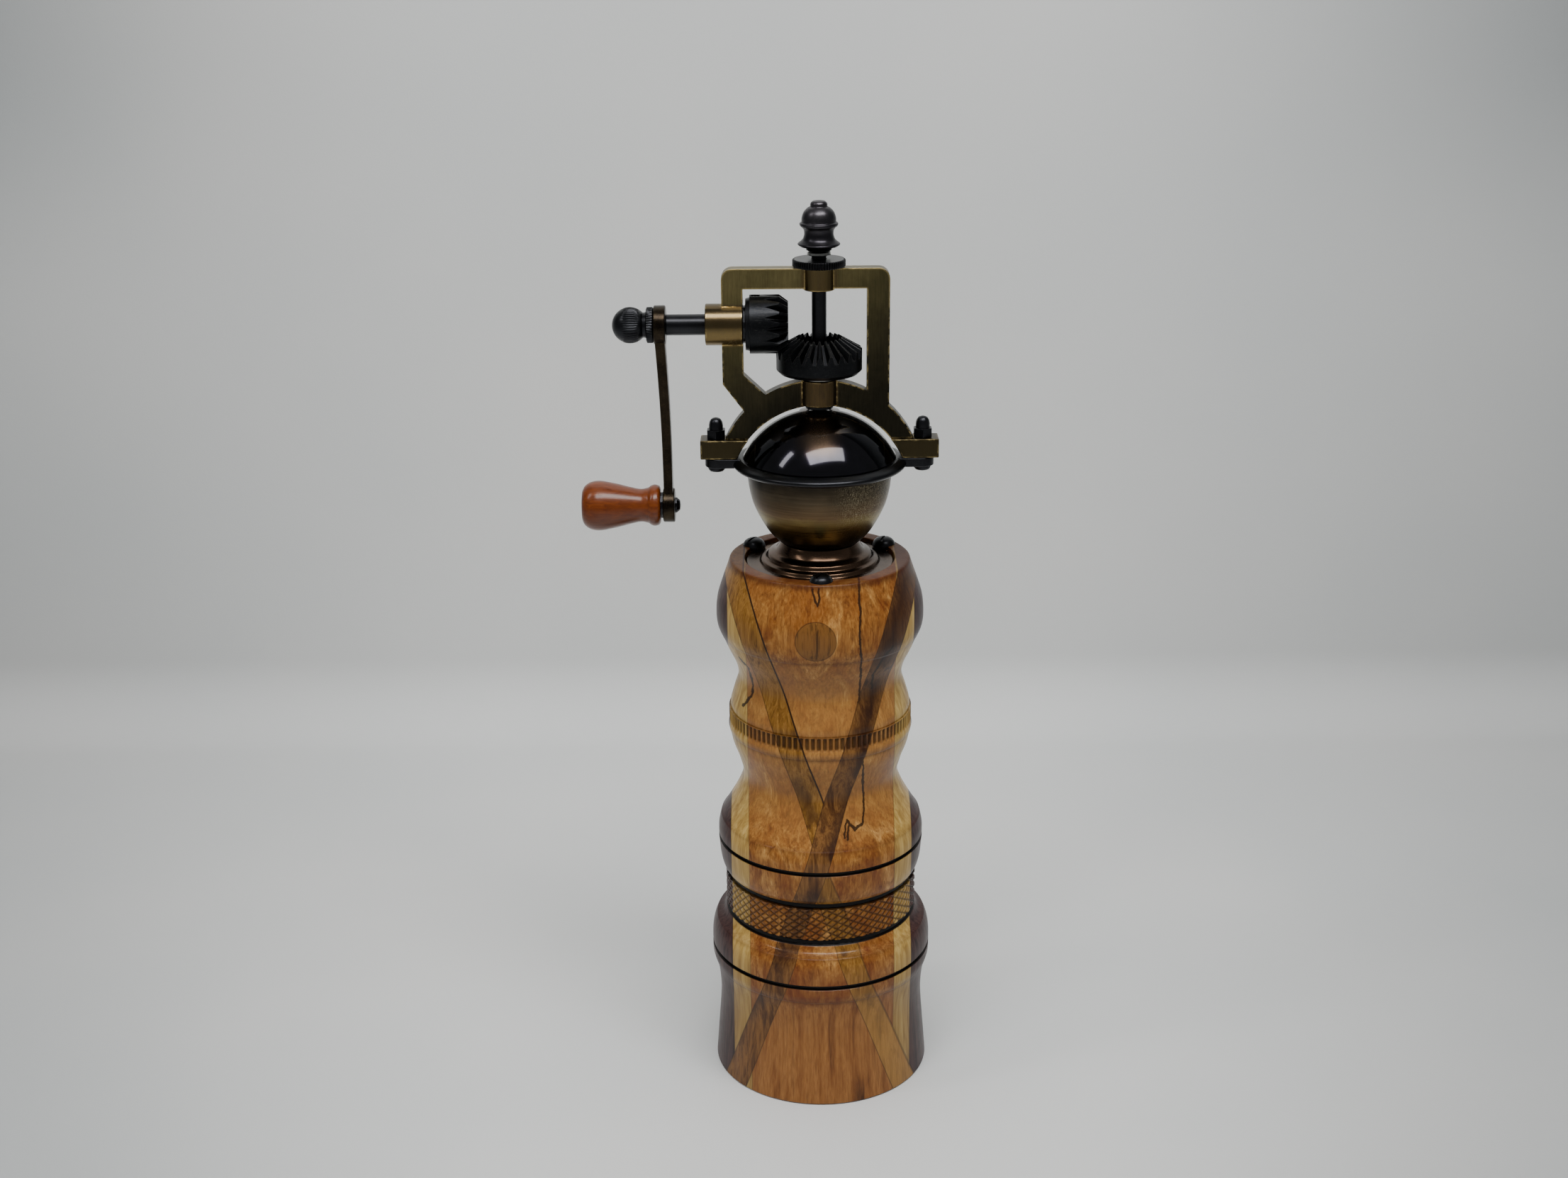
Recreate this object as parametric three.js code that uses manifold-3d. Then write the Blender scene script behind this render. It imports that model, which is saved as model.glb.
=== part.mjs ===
// A hand-cranked pepper mill: a turned wooden body carries a cast bridge with a crank, a pair of
// bevel gears and a vertical drive shaft that turns a conical burr in the base.
// Units are millimetres, +Z is up and the mill stands on Z = 0.
import * as THREE from 'three';
import { mergeVertices } from 'three/addons/utils/BufferGeometryUtils.js';
import Module from 'manifold-3d';

const wasm = await Module();
wasm.setup();

// ---------------------------------------------------------------- driving dimensions

// Clearances.
const SEAT_GAP = 0.1;            // between pieces that rest on or fit in each other
const RUN_GAP = 0.15;            // radial, between a shaft and the hole it turns in
const FREE_GAP = 0.4;            // between pieces that pass each other
const OVERRUN = 5;               // how far a cutting tool runs past the piece it cuts

// Turned body.
const BODY_HEIGHT = 190;
const RIM_RADIUS = 30.5;
const UPPER_BEAD_RADIUS = 35.1;
const UPPER_NECK_RADIUS = 27.8;
const GRIP_BEAD_RADIUS = 30.5;
const FLUTED_BEAD_RADIUS = 31.6;
const WAIST_RADIUS = 26.8;
const LOWER_BEAD_RADIUS = 35.7;
const KNURL_RADIUS = 33.4;
const SKIRT_BEAD_RADIUS = 38.6;
const SKIRT_COVE_RADIUS = 36.0;
const FOOT_RADIUS = 37.9;
const CHAMBER_RADIUS = 13.5;     // peppercorn bore
const FOOT_RECESS_RADIUS = 22.25;
const FOOT_RECESS_DEPTH = 16;
const GROOVE_DEPTH = 1.0;
const NARROW_GROOVE = 1.3;
const WIDE_GROOVE = 2.0;

// Mounting flange on the body's top.
const FLANGE_RADIUS = 24.7;
const FLANGE_THICKNESS = 1.6;
const FLANGE_RECESS_DEPTH = 3.0;
const FLANGE_NECK_RADIUS = 13.3;
const FLANGE_NECK_HEIGHT = 5.8;  // of the neck's top above the body's top
const FLANGE_EAR_RADIUS = 4.0;
const FLANGE_SCREW_CIRCLE = 25.6;
const FLANGE_SCREW_COUNT = 3;
const FLANGE_HEAD_RADIUS = 3.7;
const FLANGE_HEAD_HEIGHT = 2.2;
const WOOD_SCREW_RADIUS = 1.5;
const WOOD_SCREW_LENGTH = 11;

// Bowl, rim ring and dome above it.
const SHEET = 1.2;               // wall of the bowl
const BOWL_RADIUS = 24.2;
const BOWL_HEIGHT = 25.1;
const SPIGOT_RADIUS = 10.9;      // bowl's tube that drops into the flange
const SPIGOT_WALL = 1.0;
const SPIGOT_LENGTH = 8;
const RING_HEIGHT = 3.7;
const RING_LIP = 4.6;            // of the ring's edge beyond the bowl
const RING_SKIRT_DEPTH = 4;
const EAR_END = 3.8;             // of each ear beyond its bolt
const EAR_WIDTH = 8;
const EAR_THICKNESS = 3;
const BOLT_OUTSET = 5.2;         // of the bridge bolts beyond the ring's edge
const BOLT_RADIUS = 1.6;
const BOLT_HEAD_RADIUS = 2.9;
const BOLT_HEAD_HEIGHT = 2;
const DOME_OUTSET = 1.0;         // of the dome's base beyond the bowl
const DOME_RISE = 15.7;
const DOME_SHEET = 0.8;
const DOOR_ANGLE = 180;          // degrees of the dome that the door covers
const DOOR_LAP = 8;              // degrees by which the fixed shell runs under each door edge
const DOME_HUB_RADIUS = 6.6;

// Cast bridge.
const BRIDGE_THICKNESS = 5;
const FOOT_DEPTH = 8;            // of the bridge's feet, front to back
const FOOT_HEIGHT = 6.4;
const FOOT_END = 5.2;            // of each foot beyond its bolt
const ARCH_GAP = 1.6;            // between dome and arch
const ARCH_CROWN = 8.3;          // thickness of the arch over the dome
const ARCH_END_INSET = 3.06;     // of the arch's ends inside the bolts
const COLUMN_ROOT = 4.3;         // of the columns' lower edge above the feet
const LEFT_COLUMN_WIDTH = 6.9;
const RIGHT_COLUMN_WIDTH = 7.4;
const RIGHT_COLUMN_GAP = 1.4;    // between ring gear and right column
const TOP_BAR_RISE = 11.8;       // of the bar's underside above the crank's axis
const TOP_BAR_DEPTH = 6.6;
const KNEE_HEIGHT = 25.0;        // of the left column's lower corner above the feet's underside
const CORNER_RADIUS = 3.5;
const TOP_BOSS_WALL = 2.65;
const LOWER_BOSS_WALL = 2.4;
const SIDE_BOSS_RADIUS = 6.75;
const SIDE_BOSS_REACH = 36.8;
const SIDE_BOSS_END = 24.6;      // flush with the left column's inner edge
const ACORN_FLATS = 5.8;
const ACORN_HEX_HEIGHT = 2.9;
const ACORN_DOME_RADIUS = 2.35;
const ACORN_DOME_HEIGHT = 4.0;

// Bevel gears: both cones meet in one point on the shaft's axis, level with the crank's axis.
const CRANK_RISE = 44.3;         // of the crank's axis above the feet's underside
const PINION_TEETH = 16;
const RING_TEETH = 24;
const RING_GEAR_RADIUS = 14;
const RING_WASHER_THICKNESS = 0.9;
const RING_HUB_RADIUS = 8.3;
const RING_HUB_HEIGHT = 0.9;
const RING_BORE_EDGE = 7.4;      // where the teeth stop around the counterbore
const RING_COUNTERBORE_DEPTH = 3.2;
const PINION_TRIM = 0.1;         // taken off the pinion's full tip radius
const PINION_FACE = 4.0;         // of the pinion's nose inside the ring gear's rim
const PINION_WASHER_THICKNESS = 0.6;
const TOOTH_SLOPE = 20;          // degrees of the flanks
const BACKLASH = 0.12;           // taken off each flank at the gears' rims
const RING_ADDENDUM = 3.6;       // degrees of cone above and below the pitch cones
const RING_DEDENDUM = 3.9;
const PINION_ADDENDUM = 2.8;
const PINION_DEDENDUM = 5.2;

// Drive shaft, adjuster and finial.
const SHAFT_RADIUS = 2.4;
const SQUARE_SIDE = SHAFT_RADIUS * 2 - 0.1;
const HUB_BORE = SQUARE_SIDE / Math.SQRT2 + FREE_GAP;  // clears the square
const SQUARE_END_DROP = 6.8;     // of the square's top below the crank's axis
const THREAD_PITCH = 0.8;        // millimetres per turn of the adjuster
const ADJUSTER_RADIUS = 8.6;
const ADJUSTER_HEIGHT = 2.4;
const FINIAL_GAP = 2.6;          // room for the spring washer between adjuster and finial
const FINIAL_HEIGHT = 16.0;

// Crank.
const CRANK_SHAFT_RADIUS = 3.4;
const CRANK_TENON_RADIUS = 2.4;
const ARM_LENGTH = 60.9;
const ARM_EYE_RADIUS = 6.35;
const ARM_EYE_THICKNESS = 3.9;
const ARM_EYE_NEAR = 49.6;       // of the eye's inner face from the shaft's axis
const ARM_BAR_THICKNESS = 3.6;
const ARM_BAR_WIDTH = 7.0;
const ARM_END_RADIUS = 5.7;
const ARM_LEAN = 1.5;            // how much nearer the shaft the arm's low end is
const BALL_RADIUS = 5.85;
const BALL_CENTRE = 61.2;
const AXLE_RADIUS = 1.9;
const AXLE_HEAD_RADIUS = 2.6;
const AXLE_HEAD_HEIGHT = 1.8;
const KNOB_LENGTH = 26;
const KNOB_RADIUS = 8.3;
const KNOB_NECK_RADIUS = 5.5;
const KNOB_BEAD_RADIUS = 6.9;

// Grinding parts in the foot.
const STATOR_FLANGE_THICKNESS = 3;
const STATOR_HEIGHT = 15;
const STATOR_MOUTH_RADIUS = 12.2;
const STATOR_THROAT_RADIUS = 11.2;
const STATOR_TEETH = 24;
const ROTOR_HEIGHT = 8.8;
const ROTOR_TOP_RADIUS = HUB_BORE + 2.5;
const ROTOR_BOTTOM_RADIUS = 11.4;
const ROTOR_TEETH = 14;
const BURR_TOOTH_DEPTH = 0.8;
const STRAP_WIDTH = 9;
const STRAP_THICKNESS = 1.6;
const STRAP_DROP = 5;            // of the strap's middle below its feet
const STRAP_SCREW_SPACING = 36;
const SPRING_WIRE = 0.55;        // radius of the wire
const SPRING_TURNS = 4;

// Facets.
const ROUND_BODY = 32;
const ROUND_ARCH = 64;
const ROUND_LARGE = 28;
const ROUND_MEDIUM = 20;
const ROUND_SMALL = 12;

// ---------------------------------------------------------------- materials

const finish = (color, roughness, metalness) =>
  new THREE.MeshStandardMaterial({ color, roughness, metalness });
const LACQUERED_WOOD = finish(0xb97a3e, 0.3, 0);
const CHERRY_WOOD = finish(0xa4562a, 0.35, 0);
const ANTIQUE_BRASS = finish(0x6b5733, 0.35, 1);
const BRONZE = finish(0x4a3d36, 0.3, 1);
const BLACK_NICKEL = finish(0x1d1d22, 0.25, 1);
const BLACK_STEEL = finish(0x222326, 0.45, 1);
const BRIGHT_STEEL = finish(0xa9a9a6, 0.3, 1);
const BURR_STEEL = finish(0x6f7072, 0.45, 1);

// ---------------------------------------------------------------- making solids

const radians = THREE.MathUtils.degToRad;

function signedVolume(points, triangles) {
  const a = new THREE.Vector3();
  const b = new THREE.Vector3();
  const c = new THREE.Vector3();
  let sum = 0;
  for (let i = 0; i < triangles.length; i += 3) {
    a.fromArray(points, triangles[i] * 3);
    b.fromArray(points, triangles[i + 1] * 3);
    c.fromArray(points, triangles[i + 2] * 3);
    sum += a.dot(b.cross(c)) / 6;
  }
  return sum;
}

// A closed three.js geometry becomes a solid whose faces point out.
function solid(geometry) {
  const bare = geometry.clone();
  bare.deleteAttribute('normal');
  bare.deleteAttribute('uv');
  const merged = mergeVertices(bare, 1e-4);
  const points = merged.getAttribute('position').array;
  const corners = merged.getIndex().array;
  const triangles = [];
  for (let i = 0; i < corners.length; i += 3) {
    const [p, q, r] = [corners[i], corners[i + 1], corners[i + 2]];
    if (p !== q && q !== r && r !== p) triangles.push(p, q, r);
  }
  if (signedVolume(points, triangles) < 0) triangles.reverse();
  return new wasm.Manifold(new wasm.Mesh({
    numProp: 3,
    vertProperties: new Float32Array(points),
    triVerts: new Uint32Array(triangles),
  }));
}

function geometryOf(manifold) {
  const mesh = manifold.getMesh();
  const geometry = new THREE.BufferGeometry();
  geometry.setAttribute('position', new THREE.BufferAttribute(new Float32Array(mesh.vertProperties), 3));
  geometry.setIndex(Array.from(mesh.triVerts));
  geometry.computeVertexNormals();
  return geometry;
}

const join = (first, ...rest) => rest.reduce((whole, piece) => whole.add(piece), first);
const cut = (first, ...rest) => rest.reduce((whole, piece) => whole.subtract(piece), first);

// A body turned about Z from points [radius, height] that start and end on the axis.
function turned(profile, facets) {
  const points = profile.map(([r, z]) => new THREE.Vector2(r, z));
  return solid(new THREE.LatheGeometry(points, facets).rotateX(Math.PI / 2));
}

// The same for a hollow body: the outline closes on itself instead of on the axis.
const turnedRing = (profile, facets) => turned([...profile, profile[0]], facets);

const rodShape = (radius, z0, z1, facets) =>
  new THREE.CylinderGeometry(radius, radius, z1 - z0, facets).rotateX(Math.PI / 2).translate(0, 0, (z0 + z1) / 2);

const rod = (radius, z0, z1, facets, x = 0, y = 0) => solid(rodShape(radius, z0, z1, facets).translate(x, y, 0));

// A rod along X, used for everything on the crank's axis.
const crossRod = (radius, x0, x1, facets, z = 0) =>
  solid(rodShape(radius, x0, x1, facets).rotateY(Math.PI / 2).translate(0, 0, z));

const block = (x0, x1, y0, y1, z0, z1) =>
  solid(new THREE.BoxGeometry(x1 - x0, y1 - y0, z1 - z0)
    .translate((x0 + x1) / 2, (y0 + y1) / 2, (z0 + z1) / 2));

// A plate with its outline in X and Z, centred on Y = 0.
const uprightPlate = (shape, thickness, facets = 12) =>
  solid(new THREE.ExtrudeGeometry(shape, { depth: thickness, bevelEnabled: false, curveSegments: facets })
    .translate(0, 0, -thickness / 2).rotateX(Math.PI / 2));

// A plate with its outline in X and Y, standing on z0.
const flatPlate = (shape, thickness, z0, facets = 12) =>
  solid(new THREE.ExtrudeGeometry(shape, { depth: thickness, bevelEnabled: false, curveSegments: facets })
    .translate(0, 0, z0));

const hexagonRod = (flats, z0, z1, x = 0, y = 0) =>
  solid(rodShape(flats / Math.sqrt(3), z0, z1, 6).translate(x, y, 0));

// A value part of the way from one to another.
const between = (from, to, share) => THREE.MathUtils.lerp(from, to, share);

// A smooth stretch of a turned outline through a few chosen points.
function smooth(points, steps) {
  const curve = new THREE.SplineCurve(points.map(([r, z]) => new THREE.Vector2(r, z)));
  return curve.getPoints(steps).map((p) => [p.x, p.y]);
}

// A stretch of a circle centred on the axis, from one height to another, as a turned outline.
function domeArc(radius, centre, from, to, steps) {
  const start = Math.asin((from - centre) / radius);
  const end = Math.asin((to - centre) / radius);
  const points = [];
  for (let i = 0; i <= steps; i += 1) {
    const angle = start + ((end - start) * i) / steps;
    points.push([radius * Math.cos(angle), centre + radius * Math.sin(angle)]);
  }
  return points;
}

// A round-wire coil spring about Z.
class Helix extends THREE.Curve {
  constructor(radius, z0, z1, turns) {
    super();
    Object.assign(this, { radius, z0, z1, turns });
  }

  getPoint(t, target = new THREE.Vector3()) {
    const angle = t * this.turns * Math.PI * 2;
    return target.set(
      this.radius * Math.cos(angle),
      this.radius * Math.sin(angle),
      this.z0 + (this.z1 - this.z0) * t,
    );
  }
}

function coilSpring(radius, wire, z0, z1, turns, stepsPerTurn) {
  const section = new THREE.Shape().absarc(0, 0, wire, 0, Math.PI * 2);
  return solid(new THREE.ExtrudeGeometry(section, {
    extrudePath: new Helix(radius, z0 + wire, z1 - wire, turns),
    steps: Math.round(turns * stepsPerTurn),
    curveSegments: 3,
    bevelEnabled: false,
  }));
}

// ---------------------------------------------------------------- the model and its groups

const mill = new THREE.Group();

function add(parent, name, manifold, material) {
  const mesh = new THREE.Mesh(geometryOf(manifold), material);
  mesh.name = name;
  parent.add(mesh);
  return mesh;
}

// ---------------------------------------------------------------- turned body

const RECESS_FLOOR = BODY_HEIGHT - FLANGE_RECESS_DEPTH;
const flangeScrewAngles = Array.from(
  { length: FLANGE_SCREW_COUNT },
  (_, i) => -Math.PI / 2 + (i * Math.PI * 2) / FLANGE_SCREW_COUNT,
);
const flangeScrewPlaces = flangeScrewAngles.map((angle) => [
  FLANGE_SCREW_CIRCLE * Math.cos(angle),
  FLANGE_SCREW_CIRCLE * Math.sin(angle),
]);
const strapScrewPlaces = [-STRAP_SCREW_SPACING / 2, STRAP_SCREW_SPACING / 2];

// A square groove in the outline, at a height and a width.
const groove = (radius, centre, width) => [
  [radius, centre - width / 2],
  [radius - GROOVE_DEPTH, centre - width / 2],
  [radius - GROOVE_DEPTH, centre + width / 2],
  [radius, centre + width / 2],
];

// Heights of the turned details, measured down from the body's top and up from its foot.
const FLUTE_NOTCH = BODY_HEIGHT - 53.3;
const LOWER_BEAD_GROOVE = 88.5;
const KNURL_TOP_GROOVE = 75.2;
const KNURL_BOTTOM_GROOVE = 61.3;
const SKIRT_GROOVE = 46.7;
const WAIST_HEIGHT = between(LOWER_BEAD_GROOVE, FLUTE_NOTCH, 0.494);

function bodyOutline() {
  const top = BODY_HEIGHT;
  const skirt = smooth([
    [FOOT_RADIUS, 0.6], [SKIRT_COVE_RADIUS + 0.9, 14], [SKIRT_COVE_RADIUS, 26],
    [SKIRT_COVE_RADIUS + 0.3, 31.5], [SKIRT_BEAD_RADIUS - 1.2, 36], [SKIRT_BEAD_RADIUS, 42.5],
  ], 8);
  const skirtBead = smooth([
    [SKIRT_BEAD_RADIUS, 49], [SKIRT_BEAD_RADIUS - 0.3, 53.5], [SKIRT_BEAD_RADIUS - 1.8, 57.2],
    [KNURL_RADIUS, KNURL_BOTTOM_GROOVE - WIDE_GROOVE / 2 - 0.6],
  ], 5);
  const lowerBead = smooth([
    [KNURL_RADIUS, KNURL_TOP_GROOVE + WIDE_GROOVE / 2 + 0.8], [LOWER_BEAD_RADIUS - 0.7, 80],
    [LOWER_BEAD_RADIUS, 84.5],
  ], 3);
  const waist = smooth([
    [LOWER_BEAD_RADIUS, LOWER_BEAD_GROOVE + 2.4], [LOWER_BEAD_RADIUS - 1.4, LOWER_BEAD_GROOVE + 6.8],
    [between(WAIST_RADIUS, LOWER_BEAD_RADIUS, 0.54), LOWER_BEAD_GROOVE + 12.6],
    [WAIST_RADIUS + 1.8, WAIST_HEIGHT - 5.7], [WAIST_RADIUS, WAIST_HEIGHT],
    [WAIST_RADIUS + 1.5, WAIST_HEIGHT + 5.9], [FLUTED_BEAD_RADIUS - 1.3, FLUTE_NOTCH - 12.3],
    [FLUTED_BEAD_RADIUS - 0.4, FLUTE_NOTCH - 8.2], [FLUTED_BEAD_RADIUS, FLUTE_NOTCH - 5.0],
    [FLUTED_BEAD_RADIUS - 0.3, FLUTE_NOTCH - 0.9],
  ], 14);
  const upper = smooth([
    [GRIP_BEAD_RADIUS - 0.6, FLUTE_NOTCH + 0.6], [GRIP_BEAD_RADIUS - 0.2, FLUTE_NOTCH + 2.5],
    [GRIP_BEAD_RADIUS - 1.1, FLUTE_NOTCH + 6.5], [UPPER_NECK_RADIUS, FLUTE_NOTCH + 11.9],
    [UPPER_NECK_RADIUS + 1.2, FLUTE_NOTCH + 17.1],
    [between(UPPER_NECK_RADIUS, UPPER_BEAD_RADIUS, 0.6), FLUTE_NOTCH + 22.4],
    [UPPER_BEAD_RADIUS - 0.6, top - 25], [UPPER_BEAD_RADIUS, top - 19],
    [UPPER_BEAD_RADIUS - 0.5, top - 13.5], [between(RIM_RADIUS, UPPER_BEAD_RADIUS, 0.54), top - 8.2],
    [RIM_RADIUS + 0.8, top - 3.6], [RIM_RADIUS, top - 1],
  ], 17);
  return [
    [FOOT_RADIUS - 0.6, 0],
    ...skirt,
    ...groove(SKIRT_BEAD_RADIUS, SKIRT_GROOVE, NARROW_GROOVE),
    ...skirtBead,
    ...groove(KNURL_RADIUS, KNURL_BOTTOM_GROOVE, WIDE_GROOVE),
    ...groove(KNURL_RADIUS, KNURL_TOP_GROOVE, WIDE_GROOVE),
    ...lowerBead,
    ...groove(LOWER_BEAD_RADIUS, LOWER_BEAD_GROOVE, NARROW_GROOVE),
    ...waist,
    [FLUTED_BEAD_RADIUS - 1.6, FLUTE_NOTCH],
    ...upper,
    [RIM_RADIUS - 0.8, top],
  ];
}

const POCKET_RADIUS = FLANGE_EAR_RADIUS + FREE_GAP;
const RECESS_RADIUS = FLANGE_RADIUS + FREE_GAP;

function woodBody() {
  const blank = turnedRing([
    ...bodyOutline(),
    [RECESS_RADIUS, BODY_HEIGHT],
    [RECESS_RADIUS, RECESS_FLOOR],
    [CHAMBER_RADIUS, RECESS_FLOOR],
    [CHAMBER_RADIUS, FOOT_RECESS_DEPTH],
    [FOOT_RECESS_RADIUS, FOOT_RECESS_DEPTH],
    [FOOT_RECESS_RADIUS, 0],
  ], ROUND_BODY);
  const pockets = flangeScrewPlaces.map(([x, y]) =>
    rod(POCKET_RADIUS, RECESS_FLOOR, BODY_HEIGHT + OVERRUN, ROUND_SMALL, x, y));
  const pilotHoles = flangeScrewPlaces.map(([x, y]) =>
    rod(WOOD_SCREW_RADIUS + SEAT_GAP, RECESS_FLOOR - WOOD_SCREW_LENGTH, BODY_HEIGHT, 12, x, y));
  const strapHoles = strapScrewPlaces.map((x) =>
    rod(WOOD_SCREW_RADIUS + SEAT_GAP, 0, FOOT_RECESS_DEPTH + WOOD_SCREW_LENGTH, 12, x));
  return cut(blank, ...pockets, ...pilotHoles, ...strapHoles);
}

add(mill, 'wood_body', woodBody(), LACQUERED_WOOD);

// ---------------------------------------------------------------- mounting flange and its screws

const PLATE_BOTTOM = RECESS_FLOOR + SEAT_GAP;
const PLATE_TOP = PLATE_BOTTOM + FLANGE_THICKNESS;
const NECK_TOP = BODY_HEIGHT + FLANGE_NECK_HEIGHT;

function mountFlange() {
  const step = 20.0;
  const neck = smooth([
    [step - 0.5, PLATE_TOP + 1.0], [17.8, PLATE_TOP + 1.7], [17.3, PLATE_TOP + 2.8],
    [16.4, PLATE_TOP + 3.6], [14.8, PLATE_TOP + 4.3], [13.8, PLATE_TOP + 5.6],
    [FLANGE_NECK_RADIUS, NECK_TOP - 0.6],
  ], 9);
  const bore = SPIGOT_RADIUS + RUN_GAP;
  const disc = turnedRing([
    [bore, PLATE_BOTTOM], [FLANGE_RADIUS, PLATE_BOTTOM], [FLANGE_RADIUS, PLATE_TOP],
    [step, PLATE_TOP], ...neck, [FLANGE_NECK_RADIUS - 0.3, NECK_TOP], [bore, NECK_TOP],
  ], ROUND_LARGE);
  const ears = flangeScrewPlaces.map(([x, y]) =>
    rod(FLANGE_EAR_RADIUS, PLATE_BOTTOM, PLATE_TOP, ROUND_SMALL, x, y));
  const holes = flangeScrewPlaces.map(([x, y]) =>
    rod(WOOD_SCREW_RADIUS + SEAT_GAP, PLATE_BOTTOM - OVERRUN, PLATE_TOP + OVERRUN, 12, x, y));
  return cut(join(disc, ...ears), ...holes);
}

// A round-headed screw standing on z = 0 with its shank below; the slot runs along X.
function roundScrew(headRadius, headHeight, shankRadius, shankLength) {
  const head = turned([
    [0, 0], [headRadius, 0], [headRadius, headHeight * 0.3],
    ...smooth([
      [headRadius * 0.94, headHeight * 0.55], [headRadius * 0.7, headHeight * 0.85], [0, headHeight],
    ], 3),
  ], ROUND_SMALL);
  const shank = rod(shankRadius, -shankLength, headHeight * 0.2, 12);
  const slotWidth = headRadius * 0.3;
  const slot = block(
    -headRadius * 2, headRadius * 2, -slotWidth / 2, slotWidth / 2,
    headHeight * 0.6, headHeight * 2,
  );
  return cut(join(head, shank), slot);
}

const flangeScrew = roundScrew(
  FLANGE_HEAD_RADIUS, FLANGE_HEAD_HEIGHT, WOOD_SCREW_RADIUS,
  WOOD_SCREW_LENGTH + FLANGE_THICKNESS - 2,
);
add(mill, 'mount_flange', mountFlange(), BRONZE);
['front', 'right', 'left'].forEach((side, i) => {
  const [x, y] = flangeScrewPlaces[i];
  const screw = add(mill, `flange_screw_${side}`, flangeScrew, BLACK_STEEL);
  screw.position.set(x, y, PLATE_TOP + SEAT_GAP);
  screw.rotation.z = flangeScrewAngles[i] + Math.PI / 3;
});

// ---------------------------------------------------------------- bowl

const BOWL_BOTTOM = NECK_TOP + SEAT_GAP;
const BOWL_TOP = BOWL_BOTTOM + BOWL_HEIGHT;

function bowl() {
  const side = (inset, drop) => smooth([
    [BOWL_RADIUS - 10.0 - inset, BOWL_BOTTOM + 1.0 + drop],
    [BOWL_RADIUS - 6.6 - inset, BOWL_BOTTOM + 4.8 + drop],
    [BOWL_RADIUS - 2.9 - inset, BOWL_BOTTOM + 11.6],
    [BOWL_RADIUS - 1.1 - inset, BOWL_BOTTOM + 17.3],
    [BOWL_RADIUS - inset, BOWL_TOP],
  ], 7);
  const spigotBottom = BOWL_BOTTOM - SPIGOT_LENGTH;
  return turnedRing([
    [SPIGOT_RADIUS, spigotBottom],
    [SPIGOT_RADIUS, BOWL_BOTTOM],
    [FLANGE_NECK_RADIUS - 0.2, BOWL_BOTTOM],
    ...side(0, 0),
    ...side(SHEET, SHEET).reverse(),
    [SPIGOT_RADIUS - SPIGOT_WALL, BOWL_BOTTOM + SHEET],
    [SPIGOT_RADIUS - SPIGOT_WALL, spigotBottom],
  ], ROUND_LARGE);
}

add(mill, 'bowl', bowl(), ANTIQUE_BRASS);

// ---------------------------------------------------------------- rim ring with its two ears

const RING_BOTTOM = BOWL_TOP + SEAT_GAP;
const RING_TOP = RING_BOTTOM + RING_HEIGHT;
const RING_RADIUS = BOWL_RADIUS + RING_LIP;
const BOLT_PLACE = RING_RADIUS + BOLT_OUTSET;
const EAR_REACH = BOLT_PLACE + EAR_END;
const SKIRT_RADIUS = BOWL_RADIUS - SHEET - FREE_GAP * 2;
const boltPlaces = [-BOLT_PLACE, BOLT_PLACE];

function rimRing() {
  const inner = SKIRT_RADIUS - 1.0;
  const ring = turnedRing([
    [inner, RING_BOTTOM - RING_SKIRT_DEPTH],
    [SKIRT_RADIUS, RING_BOTTOM - RING_SKIRT_DEPTH],
    [SKIRT_RADIUS, RING_BOTTOM],
    [BOWL_RADIUS + 0.6, RING_BOTTOM],
    ...smooth([
      [RING_RADIUS - 1.6, RING_BOTTOM + 0.6], [RING_RADIUS, RING_BOTTOM + 1.9],
      [RING_RADIUS - 0.9, RING_BOTTOM + 3.1],
    ], 6),
    [RING_RADIUS - 2.4, RING_TOP],
    [inner, RING_TOP],
  ], ROUND_LARGE);
  const ears = boltPlaces.map((x) => {
    const outward = Math.sign(x);
    const roundEnd = rod(EAR_WIDTH / 2, RING_TOP - EAR_THICKNESS, RING_TOP, ROUND_SMALL,
      outward * (EAR_REACH - EAR_WIDTH / 2));
    const inside = outward * (RING_RADIUS - 4);
    const outside = outward * (EAR_REACH - EAR_WIDTH / 2);
    return join(roundEnd, block(
      Math.min(inside, outside), Math.max(inside, outside), -EAR_WIDTH / 2, EAR_WIDTH / 2,
      RING_TOP - EAR_THICKNESS, RING_TOP,
    ));
  });
  const holes = boltPlaces.map((x) =>
    rod(BOLT_RADIUS + SEAT_GAP, RING_BOTTOM - OVERRUN, RING_TOP + OVERRUN, 12, x));
  return cut(join(ring, ...ears), ...holes);
}

add(mill, 'rim_ring', rimRing(), BLACK_STEEL);

// ---------------------------------------------------------------- dome: fixed shell and filler door

const DOME_BASE = RING_TOP + 0.8;
const DOME_BASE_RADIUS = BOWL_RADIUS + DOME_OUTSET;
const DOME_RADIUS = (DOME_BASE_RADIUS ** 2 + DOME_RISE ** 2) / (2 * DOME_RISE);
const DOME_CENTRE = DOME_BASE + DOME_RISE - DOME_RADIUS;
const DOME_TOP = DOME_CENTRE + DOME_RADIUS;
const ARCH_INNER_RADIUS = DOME_RADIUS + ARCH_GAP;
const COLLAR_RADIUS = HUB_BORE + 0.9;
const sideOfCircle = (radius, height) => Math.sqrt(radius ** 2 - height ** 2);

// The lower boss runs from the arch's crown down to where the arch has fallen at the collar's edge.
const LOWER_BOSS_TOP = DOME_CENTRE + ARCH_INNER_RADIUS + ARCH_CROWN;
const LOWER_BOSS_BOTTOM = DOME_CENTRE + sideOfCircle(ARCH_INNER_RADIUS, COLLAR_RADIUS);

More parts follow.
